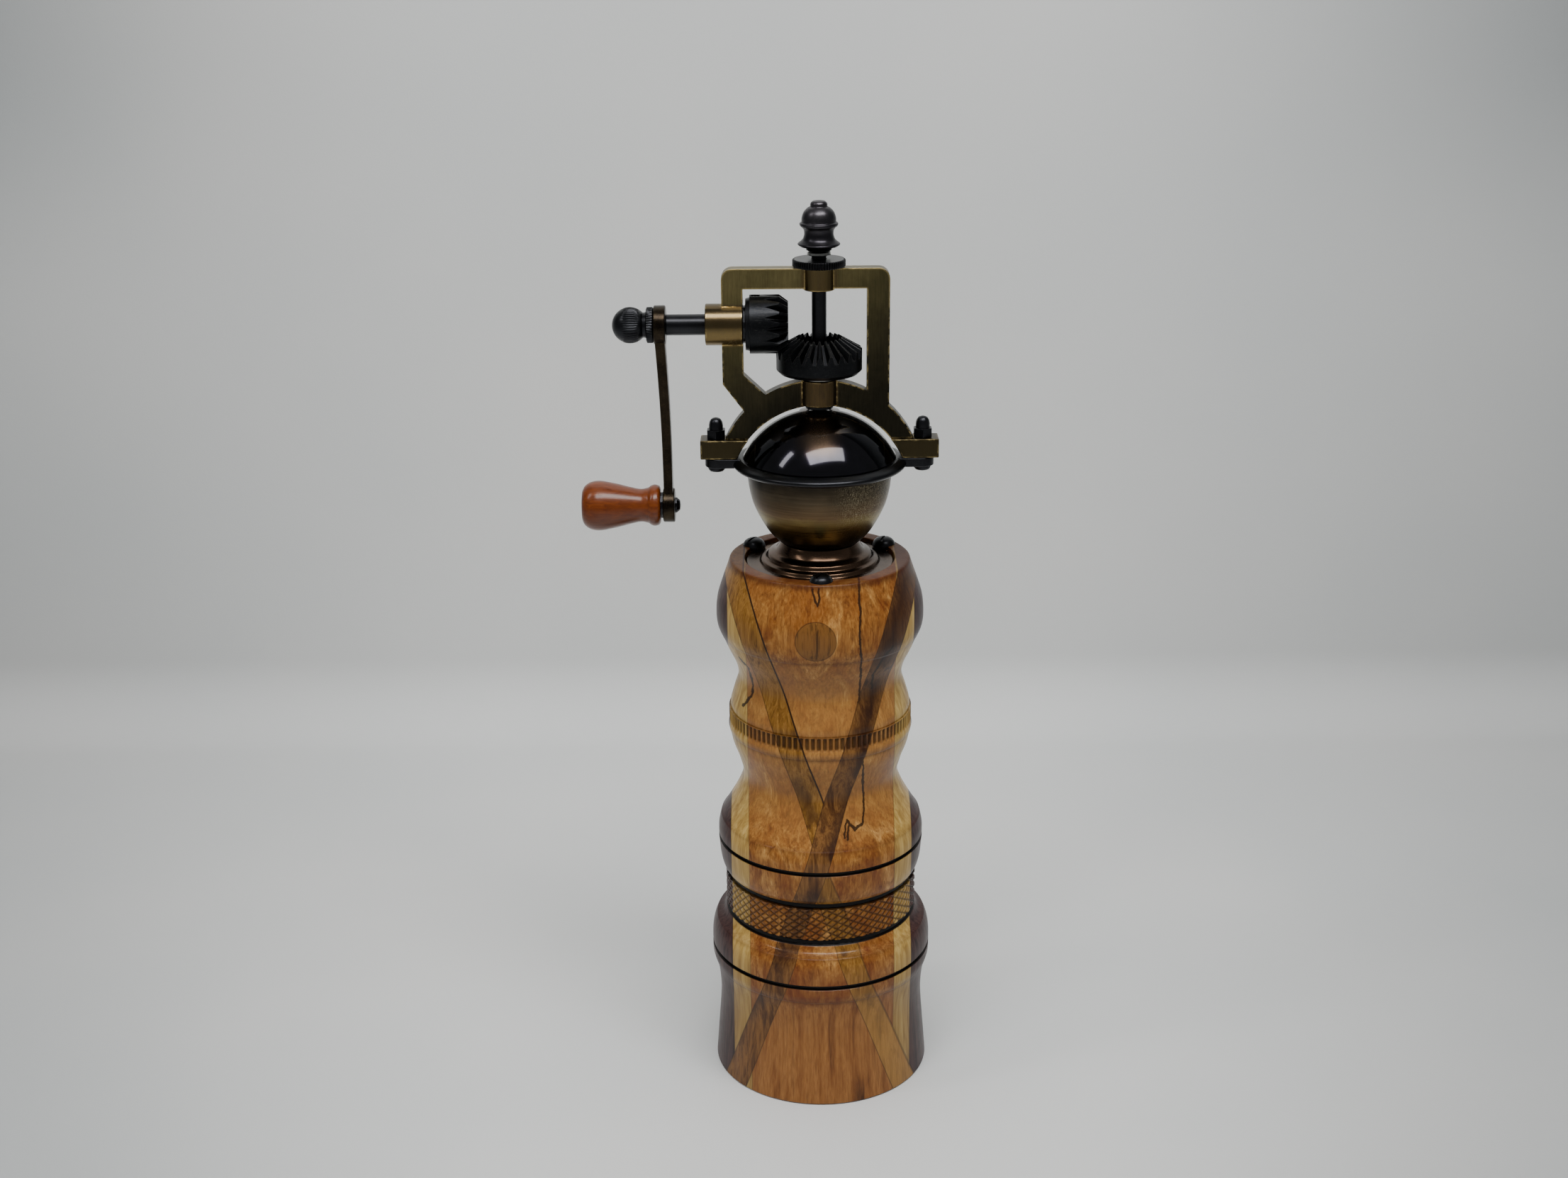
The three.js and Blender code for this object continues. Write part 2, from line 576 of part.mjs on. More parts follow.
// A cap of even thickness, open at its base and pierced at its top.
function domeCap(radius, base) {
  const inner = radius - DOME_SHEET;
  const height = (r, at) => DOME_CENTRE + Math.sqrt(r * r - at * at);
  return turnedRing([
    ...domeArc(radius, DOME_CENTRE, base, height(radius, HUB_BORE), 6),
    ...domeArc(inner, DOME_CENTRE, base, height(inner, HUB_BORE), 6).reverse(),
  ], ROUND_LARGE);
}

// An upright slice that opens towards a direction, for keeping one side of a turned shell.
function sector(middle, width, radius, z0, z1) {
  const half = radians(width / 2);
  const centre = radians(middle);
  const shape = new THREE.Shape();
  shape.moveTo(0, 0);
  shape.absarc(0, 0, radius, centre - half, centre + half, false);
  shape.lineTo(0, 0);
  return flatPlate(shape, z1 - z0, z0, 24);
}

const FIXED_RADIUS = DOME_RADIUS - DOME_SHEET - FREE_GAP;
const FRONT = -90;
const BACK = 90;

function domeShell() {
  const cap = domeCap(FIXED_RADIUS, RING_TOP + SEAT_GAP + 0.4);
  const behind = sector(BACK, 360 - DOOR_ANGLE + 2 * DOOR_LAP, 60, RING_TOP, DOME_TOP + OVERRUN);
  const hub = rod(DOME_HUB_RADIUS, DOME_CENTRE, DOME_TOP + OVERRUN, ROUND_MEDIUM);
  const capPieces = join(cap.intersect(behind), cap.intersect(hub));
  const baseRing = turnedRing([
    [SKIRT_RADIUS - 1.0, RING_TOP + SEAT_GAP],
    [DOME_BASE_RADIUS - DOME_SHEET - FREE_GAP, RING_TOP + SEAT_GAP],
    [DOME_BASE_RADIUS - DOME_SHEET - FREE_GAP, RING_TOP + SEAT_GAP + 0.6],
    [SKIRT_RADIUS - 1.0, RING_TOP + SEAT_GAP + 0.6],
  ], ROUND_LARGE);
  return cut(join(capPieces, baseRing), rod(HUB_BORE, DOME_CENTRE, DOME_TOP + OVERRUN, ROUND_SMALL));
}

function fillerDoor() {
  const cap = domeCap(DOME_RADIUS, DOME_BASE - 0.5);
  const inFront = sector(FRONT, DOOR_ANGLE, 60, RING_TOP, DOME_TOP + OVERRUN);
  const hub = rod(DOME_HUB_RADIUS, DOME_CENTRE, DOME_TOP + OVERRUN, ROUND_MEDIUM);
  return cut(
    join(cap.intersect(inFront), cap.intersect(hub)),
    rod(HUB_BORE + RUN_GAP, DOME_CENTRE, DOME_TOP + OVERRUN, ROUND_SMALL),
  );
}

// A collar under the bridge's lower boss holds the dome down.
function domeCollar() {
  return turnedRing([
    [HUB_BORE, DOME_TOP + SEAT_GAP],
    [COLLAR_RADIUS, DOME_TOP + SEAT_GAP],
    [COLLAR_RADIUS, LOWER_BOSS_BOTTOM - SEAT_GAP],
    [HUB_BORE, LOWER_BOSS_BOTTOM - SEAT_GAP],
  ], ROUND_MEDIUM);
}

add(mill, 'dome_shell', domeShell(), BLACK_NICKEL);
add(mill, 'filler_door', fillerDoor(), BLACK_NICKEL);
add(mill, 'dome_collar', domeCollar(), BLACK_STEEL);

// ---------------------------------------------------------------- cast bridge

const BRIDGE_BASE = RING_TOP + SEAT_GAP;
const CRANK_HEIGHT = BRIDGE_BASE + CRANK_RISE;
const TOP_BAR_BOTTOM = CRANK_HEIGHT + TOP_BAR_RISE;
const TOP_BAR_TOP = TOP_BAR_BOTTOM + TOP_BAR_DEPTH;
const SQUARE_TOP = CRANK_HEIGHT - SQUARE_END_DROP;
const FOOT_OUTER = BOLT_PLACE + FOOT_END;
const TOP_BOSS_RADIUS = SHAFT_RADIUS + RUN_GAP + TOP_BOSS_WALL;
const LOWER_BOSS_RADIUS = HUB_BORE + LOWER_BOSS_WALL;
const TOP_BOSS_PROUD = 0.2;
const FOOT_TOP = BRIDGE_BASE + FOOT_HEIGHT;

// The arch's outer circle goes through its crown and through its two ends on the feet.
const ARCH_END = BOLT_PLACE - ARCH_END_INSET;
const ARCH_OUTER_CENTRE = (LOWER_BOSS_TOP ** 2 - FOOT_TOP ** 2 - ARCH_END ** 2)
  / (2 * (LOWER_BOSS_TOP - FOOT_TOP));
const ARCH_OUTER_RADIUS = LOWER_BOSS_TOP - ARCH_OUTER_CENTRE;

// The plate's outline: a window frame whose columns run down into an arch.
function bridgeOutline() {
  const leftIn = -SIDE_BOSS_END;
  const leftOut = leftIn - LEFT_COLUMN_WIDTH;
  const rightIn = RING_GEAR_RADIUS + RIGHT_COLUMN_GAP;
  const rightOut = rightIn + RIGHT_COLUMN_WIDTH;
  const knee = BRIDGE_BASE + KNEE_HEIGHT;
  const root = FOOT_TOP + COLUMN_ROOT;
  const shape = new THREE.Shape();
  const k = CORNER_RADIUS;
  shape.moveTo(leftOut, knee);
  shape.lineTo(leftOut + 7.1, knee - 8);
  shape.lineTo(leftOut + 11.5, root);
  shape.lineTo(rightOut, root);
  shape.lineTo(rightOut, TOP_BAR_TOP - k);
  shape.absarc(rightOut - k, TOP_BAR_TOP - k, k, 0, Math.PI / 2, false);
  shape.lineTo(leftOut + k, TOP_BAR_TOP);
  shape.absarc(leftOut + k, TOP_BAR_TOP - k, k, Math.PI / 2, Math.PI, false);
  shape.closePath();
  const window = new THREE.Path();
  window.moveTo(leftIn, knee + 3);
  window.lineTo(leftIn, TOP_BAR_BOTTOM);
  window.lineTo(rightIn, TOP_BAR_BOTTOM);
  window.lineTo(rightIn, root + 4);
  window.lineTo(leftIn + 12.2, root + 4);
  window.closePath();
  shape.holes.push(window);
  return shape;
}

function archOutline() {
  const shape = new THREE.Shape();
  const from = Math.atan2(FOOT_TOP - ARCH_OUTER_CENTRE, ARCH_END);
  shape.moveTo(-ARCH_END, FOOT_TOP - 2);
  shape.lineTo(ARCH_END, FOOT_TOP - 2);
  shape.lineTo(ARCH_END, FOOT_TOP);
  shape.absarc(0, ARCH_OUTER_CENTRE, ARCH_OUTER_RADIUS, from, Math.PI - from, false);
  shape.closePath();
  return shape;
}

function bridgeFrame() {
  const archDisc = uprightPlate(archOutline(), BRIDGE_THICKNESS, 32);
  const frame = uprightPlate(bridgeOutline(), BRIDGE_THICKNESS);
  const feet = [-1, 1].map((side) => {
    const ends = [side * 18, side * FOOT_OUTER].sort((a, b) => a - b);
    return block(ends[0], ends[1], -FOOT_DEPTH / 2, FOOT_DEPTH / 2, BRIDGE_BASE, FOOT_TOP);
  });
  const topBoss = rod(TOP_BOSS_RADIUS, TOP_BAR_BOTTOM - 0.6, TOP_BAR_TOP + TOP_BOSS_PROUD, ROUND_MEDIUM);
  const lowerBoss = rod(LOWER_BOSS_RADIUS, LOWER_BOSS_BOTTOM, LOWER_BOSS_TOP, ROUND_MEDIUM);
  const sideBoss = crossRod(SIDE_BOSS_RADIUS, -SIDE_BOSS_REACH, -SIDE_BOSS_END, ROUND_MEDIUM, CRANK_HEIGHT);
  const casting = join(archDisc, frame, ...feet);
  const underArch = solid(new THREE.CylinderGeometry(
    ARCH_INNER_RADIUS, ARCH_INNER_RADIUS, FOOT_DEPTH * 2, ROUND_ARCH,
  ).translate(0, 0, DOME_CENTRE));
  const belowFeet = block(-60, 60, -20, 20, BRIDGE_BASE - 40, BRIDGE_BASE);
  const bored = cut(casting, underArch, belowFeet);
  const shaftBore = rod(HUB_BORE, LOWER_BOSS_BOTTOM - OVERRUN, SQUARE_TOP, ROUND_SMALL);
  const topBore = rod(SHAFT_RADIUS + RUN_GAP, SQUARE_TOP, TOP_BAR_TOP + OVERRUN, ROUND_SMALL);
  const crankBore = crossRod(
    CRANK_SHAFT_RADIUS + RUN_GAP, -SIDE_BOSS_REACH - OVERRUN, -SIDE_BOSS_END + 2, ROUND_MEDIUM, CRANK_HEIGHT,
  );
  const boltHoles = boltPlaces.map((x) =>
    rod(BOLT_RADIUS + SEAT_GAP, BRIDGE_BASE - OVERRUN, BRIDGE_BASE + FOOT_HEIGHT + OVERRUN, 12, x));
  return cut(join(bored, topBoss, lowerBoss, sideBoss), shaftBore, topBore, crankBore, ...boltHoles);
}

add(mill, 'bridge_frame', bridgeFrame(), ANTIQUE_BRASS);

// ---------------------------------------------------------------- bridge bolts and acorn nuts

const NUT_BORE_DEPTH = 4;

function bridgeBolt() {
  const grip = EAR_THICKNESS + SEAT_GAP * 2 + FOOT_HEIGHT + NUT_BORE_DEPTH - 0.6;
  return roundScrew(BOLT_HEAD_RADIUS, BOLT_HEAD_HEIGHT, BOLT_RADIUS, grip);
}

function acornNut() {
  const body = hexagonRod(ACORN_FLATS, 0, ACORN_HEX_HEIGHT);
  const cap = turned([
    [0, ACORN_HEX_HEIGHT - 0.5],
    [ACORN_DOME_RADIUS, ACORN_HEX_HEIGHT - 0.5],
    [ACORN_DOME_RADIUS, ACORN_HEX_HEIGHT + ACORN_DOME_HEIGHT * 0.35],
    ...smooth([
      [ACORN_DOME_RADIUS * 0.92, ACORN_HEX_HEIGHT + ACORN_DOME_HEIGHT * 0.6],
      [ACORN_DOME_RADIUS * 0.62, ACORN_HEX_HEIGHT + ACORN_DOME_HEIGHT * 0.88],
      [0, ACORN_HEX_HEIGHT + ACORN_DOME_HEIGHT],
    ], 5),
  ], ROUND_SMALL);
  return cut(join(body, cap), rod(BOLT_RADIUS + SEAT_GAP, -1, NUT_BORE_DEPTH, 12));
}

['left', 'right'].forEach((side, i) => {
  const bolt = add(mill, `bridge_bolt_${side}`, bridgeBolt(), BLACK_STEEL);
  bolt.position.set(boltPlaces[i], 0, RING_TOP - EAR_THICKNESS - SEAT_GAP);
  bolt.rotation.x = Math.PI;
  const nut = add(mill, `acorn_nut_${side}`, acornNut(), BLACK_STEEL);
  nut.position.set(boltPlaces[i], 0, FOOT_TOP + SEAT_GAP);
});

// ---------------------------------------------------------------- bevel gears

const PITCH_RATIO = RING_TEETH / PINION_TEETH;
const RING_PITCH = Math.atan(PITCH_RATIO);
const PINION_PITCH = Math.PI / 2 - RING_PITCH;
const CONE_DISTANCE = RING_GEAR_RADIUS / Math.sin(RING_PITCH + radians(RING_ADDENDUM));

// Straight bevel teeth: an outline of the teeth at the gear's rim, drawn in the plane that lies
// `depth` from the cones' common point, which then narrows in straight lines towards that point.
function bevelTeeth(teeth, pitch, addendum, dedendum, near, far, turn) {
  const pitchRadius = CONE_DISTANCE * Math.sin(pitch);
  const thickness = (Math.PI * pitchRadius) / teeth / 2 - BACKLASH;
  const slope = Math.tan(radians(TOOTH_SLOPE));
  const corner = (cone, middle, side) => {
    const rise = CONE_DISTANCE * (cone - pitch);
    const half = (thickness - rise * slope) / (CONE_DISTANCE * Math.sin(cone));
    const radius = far * Math.tan(cone);
    const angle = middle + side * half;
    return new THREE.Vector2(radius * Math.cos(angle), radius * Math.sin(angle));
  };
  const outline = [];
  for (let i = 0; i < teeth; i += 1) {
    const middle = turn + (i * Math.PI * 2) / teeth;
    outline.push(corner(pitch - radians(dedendum), middle, -1));
    outline.push(corner(pitch + radians(addendum), middle, -1));
    outline.push(corner(pitch + radians(addendum), middle, 1));
    outline.push(corner(pitch - radians(dedendum), middle, 1));
  }
  const geometry = new THREE.ExtrudeGeometry(new THREE.Shape(outline), {
    depth: far - near, bevelEnabled: false,
  }).translate(0, 0, near);
  const place = geometry.getAttribute('position');
  for (let i = 0; i < place.count; i += 1) {
    const narrow = place.getZ(i) / far;
    place.setXY(i, place.getX(i) * narrow, place.getY(i) * narrow);
  }
  return geometry;
}

const RING_TIP = RING_PITCH + radians(RING_ADDENDUM);
const PINION_TIP = PINION_PITCH + radians(PINION_ADDENDUM);
const PINION_RADIUS = CONE_DISTANCE * Math.sin(PINION_TIP) - PINION_TRIM;
const PINION_NEAR = RING_GEAR_RADIUS - PINION_FACE;
const PINION_FAR = SIDE_BOSS_END - SEAT_GAP * 2 - PINION_WASHER_THICKNESS;
const HUB_BOTTOM = LOWER_BOSS_TOP + SEAT_GAP * 2 + RING_WASHER_THICKNESS;
const RING_GEAR_BOTTOM = HUB_BOTTOM + RING_HUB_HEIGHT;

// The ring gear lies under the cones' point, so its depths are measured downwards.
function ringGear() {
  const bottom = CRANK_HEIGHT - RING_GEAR_BOTTOM;
  const rimDepth = RING_GEAR_RADIUS / Math.tan(RING_TIP);
  const innerDepth = RING_BORE_EDGE / Math.tan(RING_TIP);
  const blank = turned([
    [0, innerDepth],
    [RING_BORE_EDGE, innerDepth],
    [RING_GEAR_RADIUS, rimDepth],
    [RING_GEAR_RADIUS, bottom - 1.2],
    [RING_GEAR_RADIUS - 1.2, bottom],
    [0, bottom],
  ], RING_TEETH * 2);
  const teeth = solid(bevelTeeth(
    RING_TEETH, RING_PITCH, RING_ADDENDUM, RING_DEDENDUM, 1, bottom + 1, 0,
  ));
  const hub = rod(RING_HUB_RADIUS, bottom - 1, bottom + RING_HUB_HEIGHT, ROUND_MEDIUM);
  const counterbore = rod(RING_BORE_EDGE, 0, innerDepth + RING_COUNTERBORE_DEPTH, ROUND_MEDIUM);
  const half = SQUARE_SIDE / 2 + RUN_GAP;
  const square = block(-half, half, -half, half, 0, bottom + OVERRUN);
  return cut(join(blank.intersect(teeth), hub), counterbore, square);
}

// The pinion is modelled along Z as well: the crank's group lays it on its side.
function pinionGear() {
  const noseRadius = PINION_NEAR * Math.tan(PINION_TIP);
  const shoulder = PINION_RADIUS / Math.tan(PINION_TIP);
  const blank = turned([
    [0, PINION_NEAR],
    [noseRadius, PINION_NEAR],
    [PINION_RADIUS, shoulder],
    [PINION_RADIUS, PINION_FAR - 1.3],
    [PINION_RADIUS - 0.9, PINION_FAR - 1.3],
    [PINION_RADIUS - 1.2, PINION_FAR],
    [0, PINION_FAR],
  ], PINION_TEETH * 2);
  const teeth = solid(bevelTeeth(
    PINION_TEETH, PINION_PITCH, PINION_ADDENDUM, PINION_DEDENDUM, 1, PINION_FAR + 1, Math.PI / PINION_TEETH,
  ));
  const bore = rod(CRANK_TENON_RADIUS + SEAT_GAP, 0, PINION_FAR + OVERRUN, ROUND_SMALL);
  return cut(blank.intersect(teeth), bore, setScrewHole());
}

const SET_SCREW_RADIUS = 1.5;
const SET_SCREW_PLACE = PINION_FAR - 3.2;

// The pinion's set screw enters from above, along the crank group's X axis.
const setScrewHole = () =>
  crossRod(SET_SCREW_RADIUS + SEAT_GAP, 0, PINION_RADIUS + OVERRUN, 12, SET_SCREW_PLACE);

function setScrew() {
  const socket = solid(rodShape(0.8, PINION_RADIUS - 2.6, PINION_RADIUS + 1, 6).rotateY(Math.PI / 2)
    .translate(0, 0, SET_SCREW_PLACE));
  return cut(
    crossRod(SET_SCREW_RADIUS, CRANK_TENON_RADIUS + SEAT_GAP, PINION_RADIUS - 0.6, 12, SET_SCREW_PLACE),
    socket,
  );
}

// ---------------------------------------------------------------- spindle: ring gear and washer

const spindle = new THREE.Group();
mill.add(spindle);

const ringGearMesh = add(spindle, 'ring_gear', ringGear(), BLACK_STEEL);
ringGearMesh.position.z = CRANK_HEIGHT;
ringGearMesh.rotation.x = Math.PI;

add(spindle, 'ring_gear_washer', turnedRing([
  [HUB_BORE, LOWER_BOSS_TOP + SEAT_GAP],
  [LOWER_BOSS_RADIUS - 0.4, LOWER_BOSS_TOP + SEAT_GAP],
  [LOWER_BOSS_RADIUS - 0.4, HUB_BOTTOM - SEAT_GAP],
  [HUB_BORE, HUB_BOTTOM - SEAT_GAP],
], ROUND_MEDIUM), BRIGHT_STEEL);

// ---------------------------------------------------------------- drive shaft, adjuster and finial

const driven = new THREE.Group();
spindle.add(driven);

const ADJUSTER_BOTTOM = TOP_BAR_TOP + TOP_BOSS_PROUD + SEAT_GAP;
const ADJUSTER_TOP = ADJUSTER_BOTTOM + ADJUSTER_HEIGHT;
const FINIAL_BOTTOM = ADJUSTER_TOP + FINIAL_GAP;
const FINIAL_BORE_DEPTH = 8;
const STATOR_BOTTOM = FOOT_RECESS_DEPTH - STATOR_FLANGE_THICKNESS - SEAT_GAP;
const ROTOR_BOTTOM = STATOR_BOTTOM + 0.2;
const ROTOR_TOP = ROTOR_BOTTOM + ROTOR_HEIGHT;
const STRAP_TOP = STATOR_BOTTOM - SEAT_GAP - STRAP_THICKNESS - STRAP_DROP + STRAP_THICKNESS;
const STRAP_BOTTOM = STRAP_TOP - STRAP_THICKNESS;
const ROTOR_NUT_HEIGHT = 2.6;
const SHAFT_END = STRAP_BOTTOM - 1.2;

function driveShaft() {
  const half = SQUARE_SIDE / 2;
  const square = block(-half, half, -half, half, ROTOR_BOTTOM, SQUARE_TOP);
  const upper = rod(SHAFT_RADIUS, SQUARE_TOP - 0.5, FINIAL_BOTTOM + FINIAL_BORE_DEPTH - 1, ROUND_SMALL);
  const tail = rod(SHAFT_RADIUS - 0.4, SHAFT_END, ROTOR_BOTTOM + 0.5, ROUND_SMALL);
  return join(square, upper, tail);
}

function adjusterNut() {
  const teeth = 40;
  const knurl = new THREE.Shape(Array.from({ length: teeth * 2 }, (_, i) => {
    const angle = (i * Math.PI) / teeth;
    const radius = i % 2 ? ADJUSTER_RADIUS - 0.35 : ADJUSTER_RADIUS;
    return new THREE.Vector2(radius * Math.cos(angle), radius * Math.sin(angle));
  }));
  const disc = flatPlate(knurl, ADJUSTER_HEIGHT, ADJUSTER_BOTTOM);
  return cut(disc, rod(SHAFT_RADIUS + RUN_GAP, ADJUSTER_BOTTOM - 1, ADJUSTER_TOP + 1, ROUND_SMALL));
}

function finial() {
  const z = FINIAL_BOTTOM;
  const outline = [
    [0, z], [3.6, z], [4.2, z + 0.5], [4.4, z + 1.3], [6.4, z + 1.7], [6.8, z + 2.2], [6.5, z + 2.8],
    ...smooth([
      [5.5, z + 3.5], [4.75, z + 5.0], [4.8, z + 6.6], [5.3, z + 7.6],
    ], 5),
    [6.1, z + 8.2], [6.2, z + 8.7], [5.7, z + 9.2],
    ...smooth([
      [5.6, z + 9.7], [5.3, z + 11.6], [4.2, z + 13.2], [3.0, z + 13.9],
    ], 5),
    [2.8, z + 14.5], [2.5, z + 15.5], [1.6, z + FINIAL_HEIGHT - 0.1], [0, z + FINIAL_HEIGHT],
  ];
  return cut(
    turned(outline, ROUND_MEDIUM),
    rod(SHAFT_RADIUS + SEAT_GAP, z - 1, z + FINIAL_BORE_DEPTH, ROUND_SMALL),
  );
}

add(driven, 'drive_shaft', driveShaft(), BLACK_STEEL);
add(spindle, 'adjuster_nut', adjusterNut(), BLACK_STEEL);
add(driven, 'finial', finial(), BLACK_NICKEL);
add(driven, 'finial_spring', coilSpring(
  SHAFT_RADIUS + 1.0, 0.42, ADJUSTER_TOP + SEAT_GAP, FINIAL_BOTTOM - SEAT_GAP, 1.9, 10,
), BRIGHT_STEEL);

// ---------------------------------------------------------------- grinding parts in the foot

// Saw-toothed cone: an outline of teeth at one end that narrows or widens to the other end.
function toothedCone(teeth, bottomRadius, topRadius, depth, z0, z1) {
  const outline = Array.from({ length: teeth * 2 }, (_, i) => {
    const angle = (i * Math.PI) / teeth;
    const radius = i % 2 ? bottomRadius - depth : bottomRadius;
    return new THREE.Vector2(radius * Math.cos(angle), radius * Math.sin(angle));
  });
  const geometry = new THREE.ExtrudeGeometry(new THREE.Shape(outline), {
    depth: z1 - z0, bevelEnabled: false,
  }).translate(0, 0, z0);
  const place = geometry.getAttribute('position');
  for (let i = 0; i < place.count; i += 1) {
    const scale = place.getZ(i) > (z0 + z1) / 2 ? topRadius / bottomRadius : 1;
    place.setXY(i, place.getX(i) * scale, place.getY(i) * scale);
  }
  return solid(geometry);
}

const STATOR_TOP = STATOR_BOTTOM + STATOR_HEIGHT;
const STATOR_BODY_RADIUS = CHAMBER_RADIUS - SEAT_GAP * 2;

function statorBurr() {
  const flangeTop = STATOR_BOTTOM + STATOR_FLANGE_THICKNESS;
  const blank = turned([
    [0, STATOR_BOTTOM], [FOOT_RECESS_RADIUS - FREE_GAP, STATOR_BOTTOM],
    [FOOT_RECESS_RADIUS - FREE_GAP, flangeTop], [STATOR_BODY_RADIUS, flangeTop],
    [STATOR_BODY_RADIUS, STATOR_TOP], [0, STATOR_TOP],
  ], ROUND_LARGE);
  const mouth = toothedCone(
    STATOR_TEETH, STATOR_MOUTH_RADIUS + BURR_TOOTH_DEPTH, STATOR_THROAT_RADIUS + BURR_TOOTH_DEPTH,
    BURR_TOOTH_DEPTH, STATOR_BOTTOM - 1, STATOR_TOP + 1,
  );
  const holes = strapScrewPlaces.map((x) =>
    rod(WOOD_SCREW_RADIUS + SEAT_GAP, STATOR_BOTTOM - 1, flangeTop + 1, 12, x));
  return cut(blank, mouth, ...holes);
}

function rotorBurr() {
  const cone = toothedCone(
    ROTOR_TEETH, ROTOR_BOTTOM_RADIUS, ROTOR_TOP_RADIUS, BURR_TOOTH_DEPTH, ROTOR_BOTTOM, ROTOR_TOP,
  );
  const half = SQUARE_SIDE / 2 + SEAT_GAP;
  return cut(cone, block(-half, half, -half, half, ROTOR_BOTTOM - 1, ROTOR_TOP + 1));
}

const SPIDER_BOTTOM = STATOR_TOP + SEAT_GAP;
const SPIDER_HEIGHT = 2;

// A three-armed spider steadies the shaft above the burrs and carries the spring's top.
function bearingSpider() {
  const rim = turnedRing([
    [STATOR_THROAT_RADIUS, SPIDER_BOTTOM], [STATOR_BODY_RADIUS, SPIDER_BOTTOM],
    [STATOR_BODY_RADIUS, SPIDER_BOTTOM + SPIDER_HEIGHT], [STATOR_THROAT_RADIUS, SPIDER_BOTTOM + SPIDER_HEIGHT],
  ], ROUND_LARGE);
  const hub = rod(HUB_BORE + 1.9, SPIDER_BOTTOM, SPIDER_BOTTOM + SPIDER_HEIGHT, ROUND_MEDIUM);
  const arms = [0, 1, 2].map((i) => solid(new THREE.BoxGeometry(STATOR_THROAT_RADIUS + 1, 2.6, SPIDER_HEIGHT)
    .translate((STATOR_THROAT_RADIUS + 1) / 2, 0, SPIDER_BOTTOM + SPIDER_HEIGHT / 2)
    .rotateZ((i * Math.PI * 2) / 3)));
  return cut(
    join(rim, hub, ...arms),
    rod(HUB_BORE, SPIDER_BOTTOM - 1, SPIDER_BOTTOM + SPIDER_HEIGHT + 1, ROUND_SMALL),
  );
}

// A strap bent down in the middle carries the shaft's lower end.
function retainingStrap() {
  const foot = STATOR_BOTTOM - SEAT_GAP;
  const reach = FOOT_RECESS_RADIUS - FREE_GAP - 0.8;
  const t = STRAP_THICKNESS;
  const shape = new THREE.Shape();
  shape.moveTo(-reach, foot);
  shape.lineTo(-reach, foot - t);
  shape.lineTo(-13.2, foot - t);
  shape.lineTo(-8.4, STRAP_BOTTOM);
  shape.lineTo(8.4, STRAP_BOTTOM);
  shape.lineTo(13.2, foot - t);
  shape.lineTo(reach, foot - t);
  shape.lineTo(reach, foot);
  shape.lineTo(12.2, foot);
  shape.lineTo(7.6, STRAP_TOP);
  shape.lineTo(-7.6, STRAP_TOP);
  shape.lineTo(-12.2, foot);
  shape.closePath();
  const holes = strapScrewPlaces.map((x) =>
    rod(WOOD_SCREW_RADIUS + SEAT_GAP, STRAP_BOTTOM, STATOR_BOTTOM + 1, 12, x));
  const bearing = rod(SHAFT_RADIUS - 0.4 + RUN_GAP, STRAP_BOTTOM - 1, STRAP_TOP + 1, ROUND_SMALL);
  return cut(uprightPlate(shape, STRAP_WIDTH), bearing, ...holes);
}

add(mill, 'stator_burr', statorBurr(), BURR_STEEL);
add(mill, 'bearing_spider', bearingSpider(), BRIGHT_STEEL);
add(mill, 'retaining_strap', retainingStrap(), BRIGHT_STEEL);
const strapScrew = roundScrew(
  2.8, 1.8, WOOD_SCREW_RADIUS, STRAP_THICKNESS + STATOR_FLANGE_THICKNESS + WOOD_SCREW_LENGTH - 2,
);
['left', 'right'].forEach((side, i) => {
  const screw = add(mill, `strap_screw_${side}`, strapScrew, BRIGHT_STEEL);
  screw.position.set(strapScrewPlaces[i], 0, STATOR_BOTTOM - SEAT_GAP * 2 - STRAP_THICKNESS);
  screw.rotation.x = Math.PI;
});
add(driven, 'rotor_burr', rotorBurr(), BURR_STEEL);
add(driven, 'rotor_nut', cut(
  hexagonRod(7, ROTOR_BOTTOM - SEAT_GAP - ROTOR_NUT_HEIGHT, ROTOR_BOTTOM - SEAT_GAP),
  rod(SHAFT_RADIUS - 0.4 + SEAT_GAP, 0, ROTOR_BOTTOM + 1, ROUND_SMALL),
), BRIGHT_STEEL);
add(driven, 'burr_spring', coilSpring(
  HUB_BORE + 1.1, SPRING_WIRE, ROTOR_TOP + SEAT_GAP, SPIDER_BOTTOM - SEAT_GAP, SPRING_TURNS, 10,
), BRIGHT_STEEL);

// ---------------------------------------------------------------- crank

// In this group Z runs out along the crank's axis, to the left of the mill, and X is up.
const crank = new THREE.Group();
crank.position.z = CRANK_HEIGHT;
crank.rotation.y = -Math.PI / 2;
mill.add(crank);

const EYE_FAR = ARM_EYE_NEAR + ARM_EYE_THICKNESS;
const WASHER_NEAR = PINION_FAR + SEAT_GAP;
const WASHER_FAR = WASHER_NEAR + PINION_WASHER_THICKNESS;
const BALL_BORE_DEPTH = 7;

function crankShaft() {
  const body = rod(CRANK_SHAFT_RADIUS, WASHER_NEAR, ARM_EYE_NEAR - SEAT_GAP, ROUND_MEDIUM);
  const tenon = rod(CRANK_TENON_RADIUS, PINION_NEAR + 0.4, WASHER_NEAR + 1, ROUND_SMALL);
  const stud = rod(CRANK_TENON_RADIUS, ARM_EYE_NEAR - 1, EYE_FAR + BALL_BORE_DEPTH - 1, ROUND_SMALL);
  return join(body, tenon, stud);
}

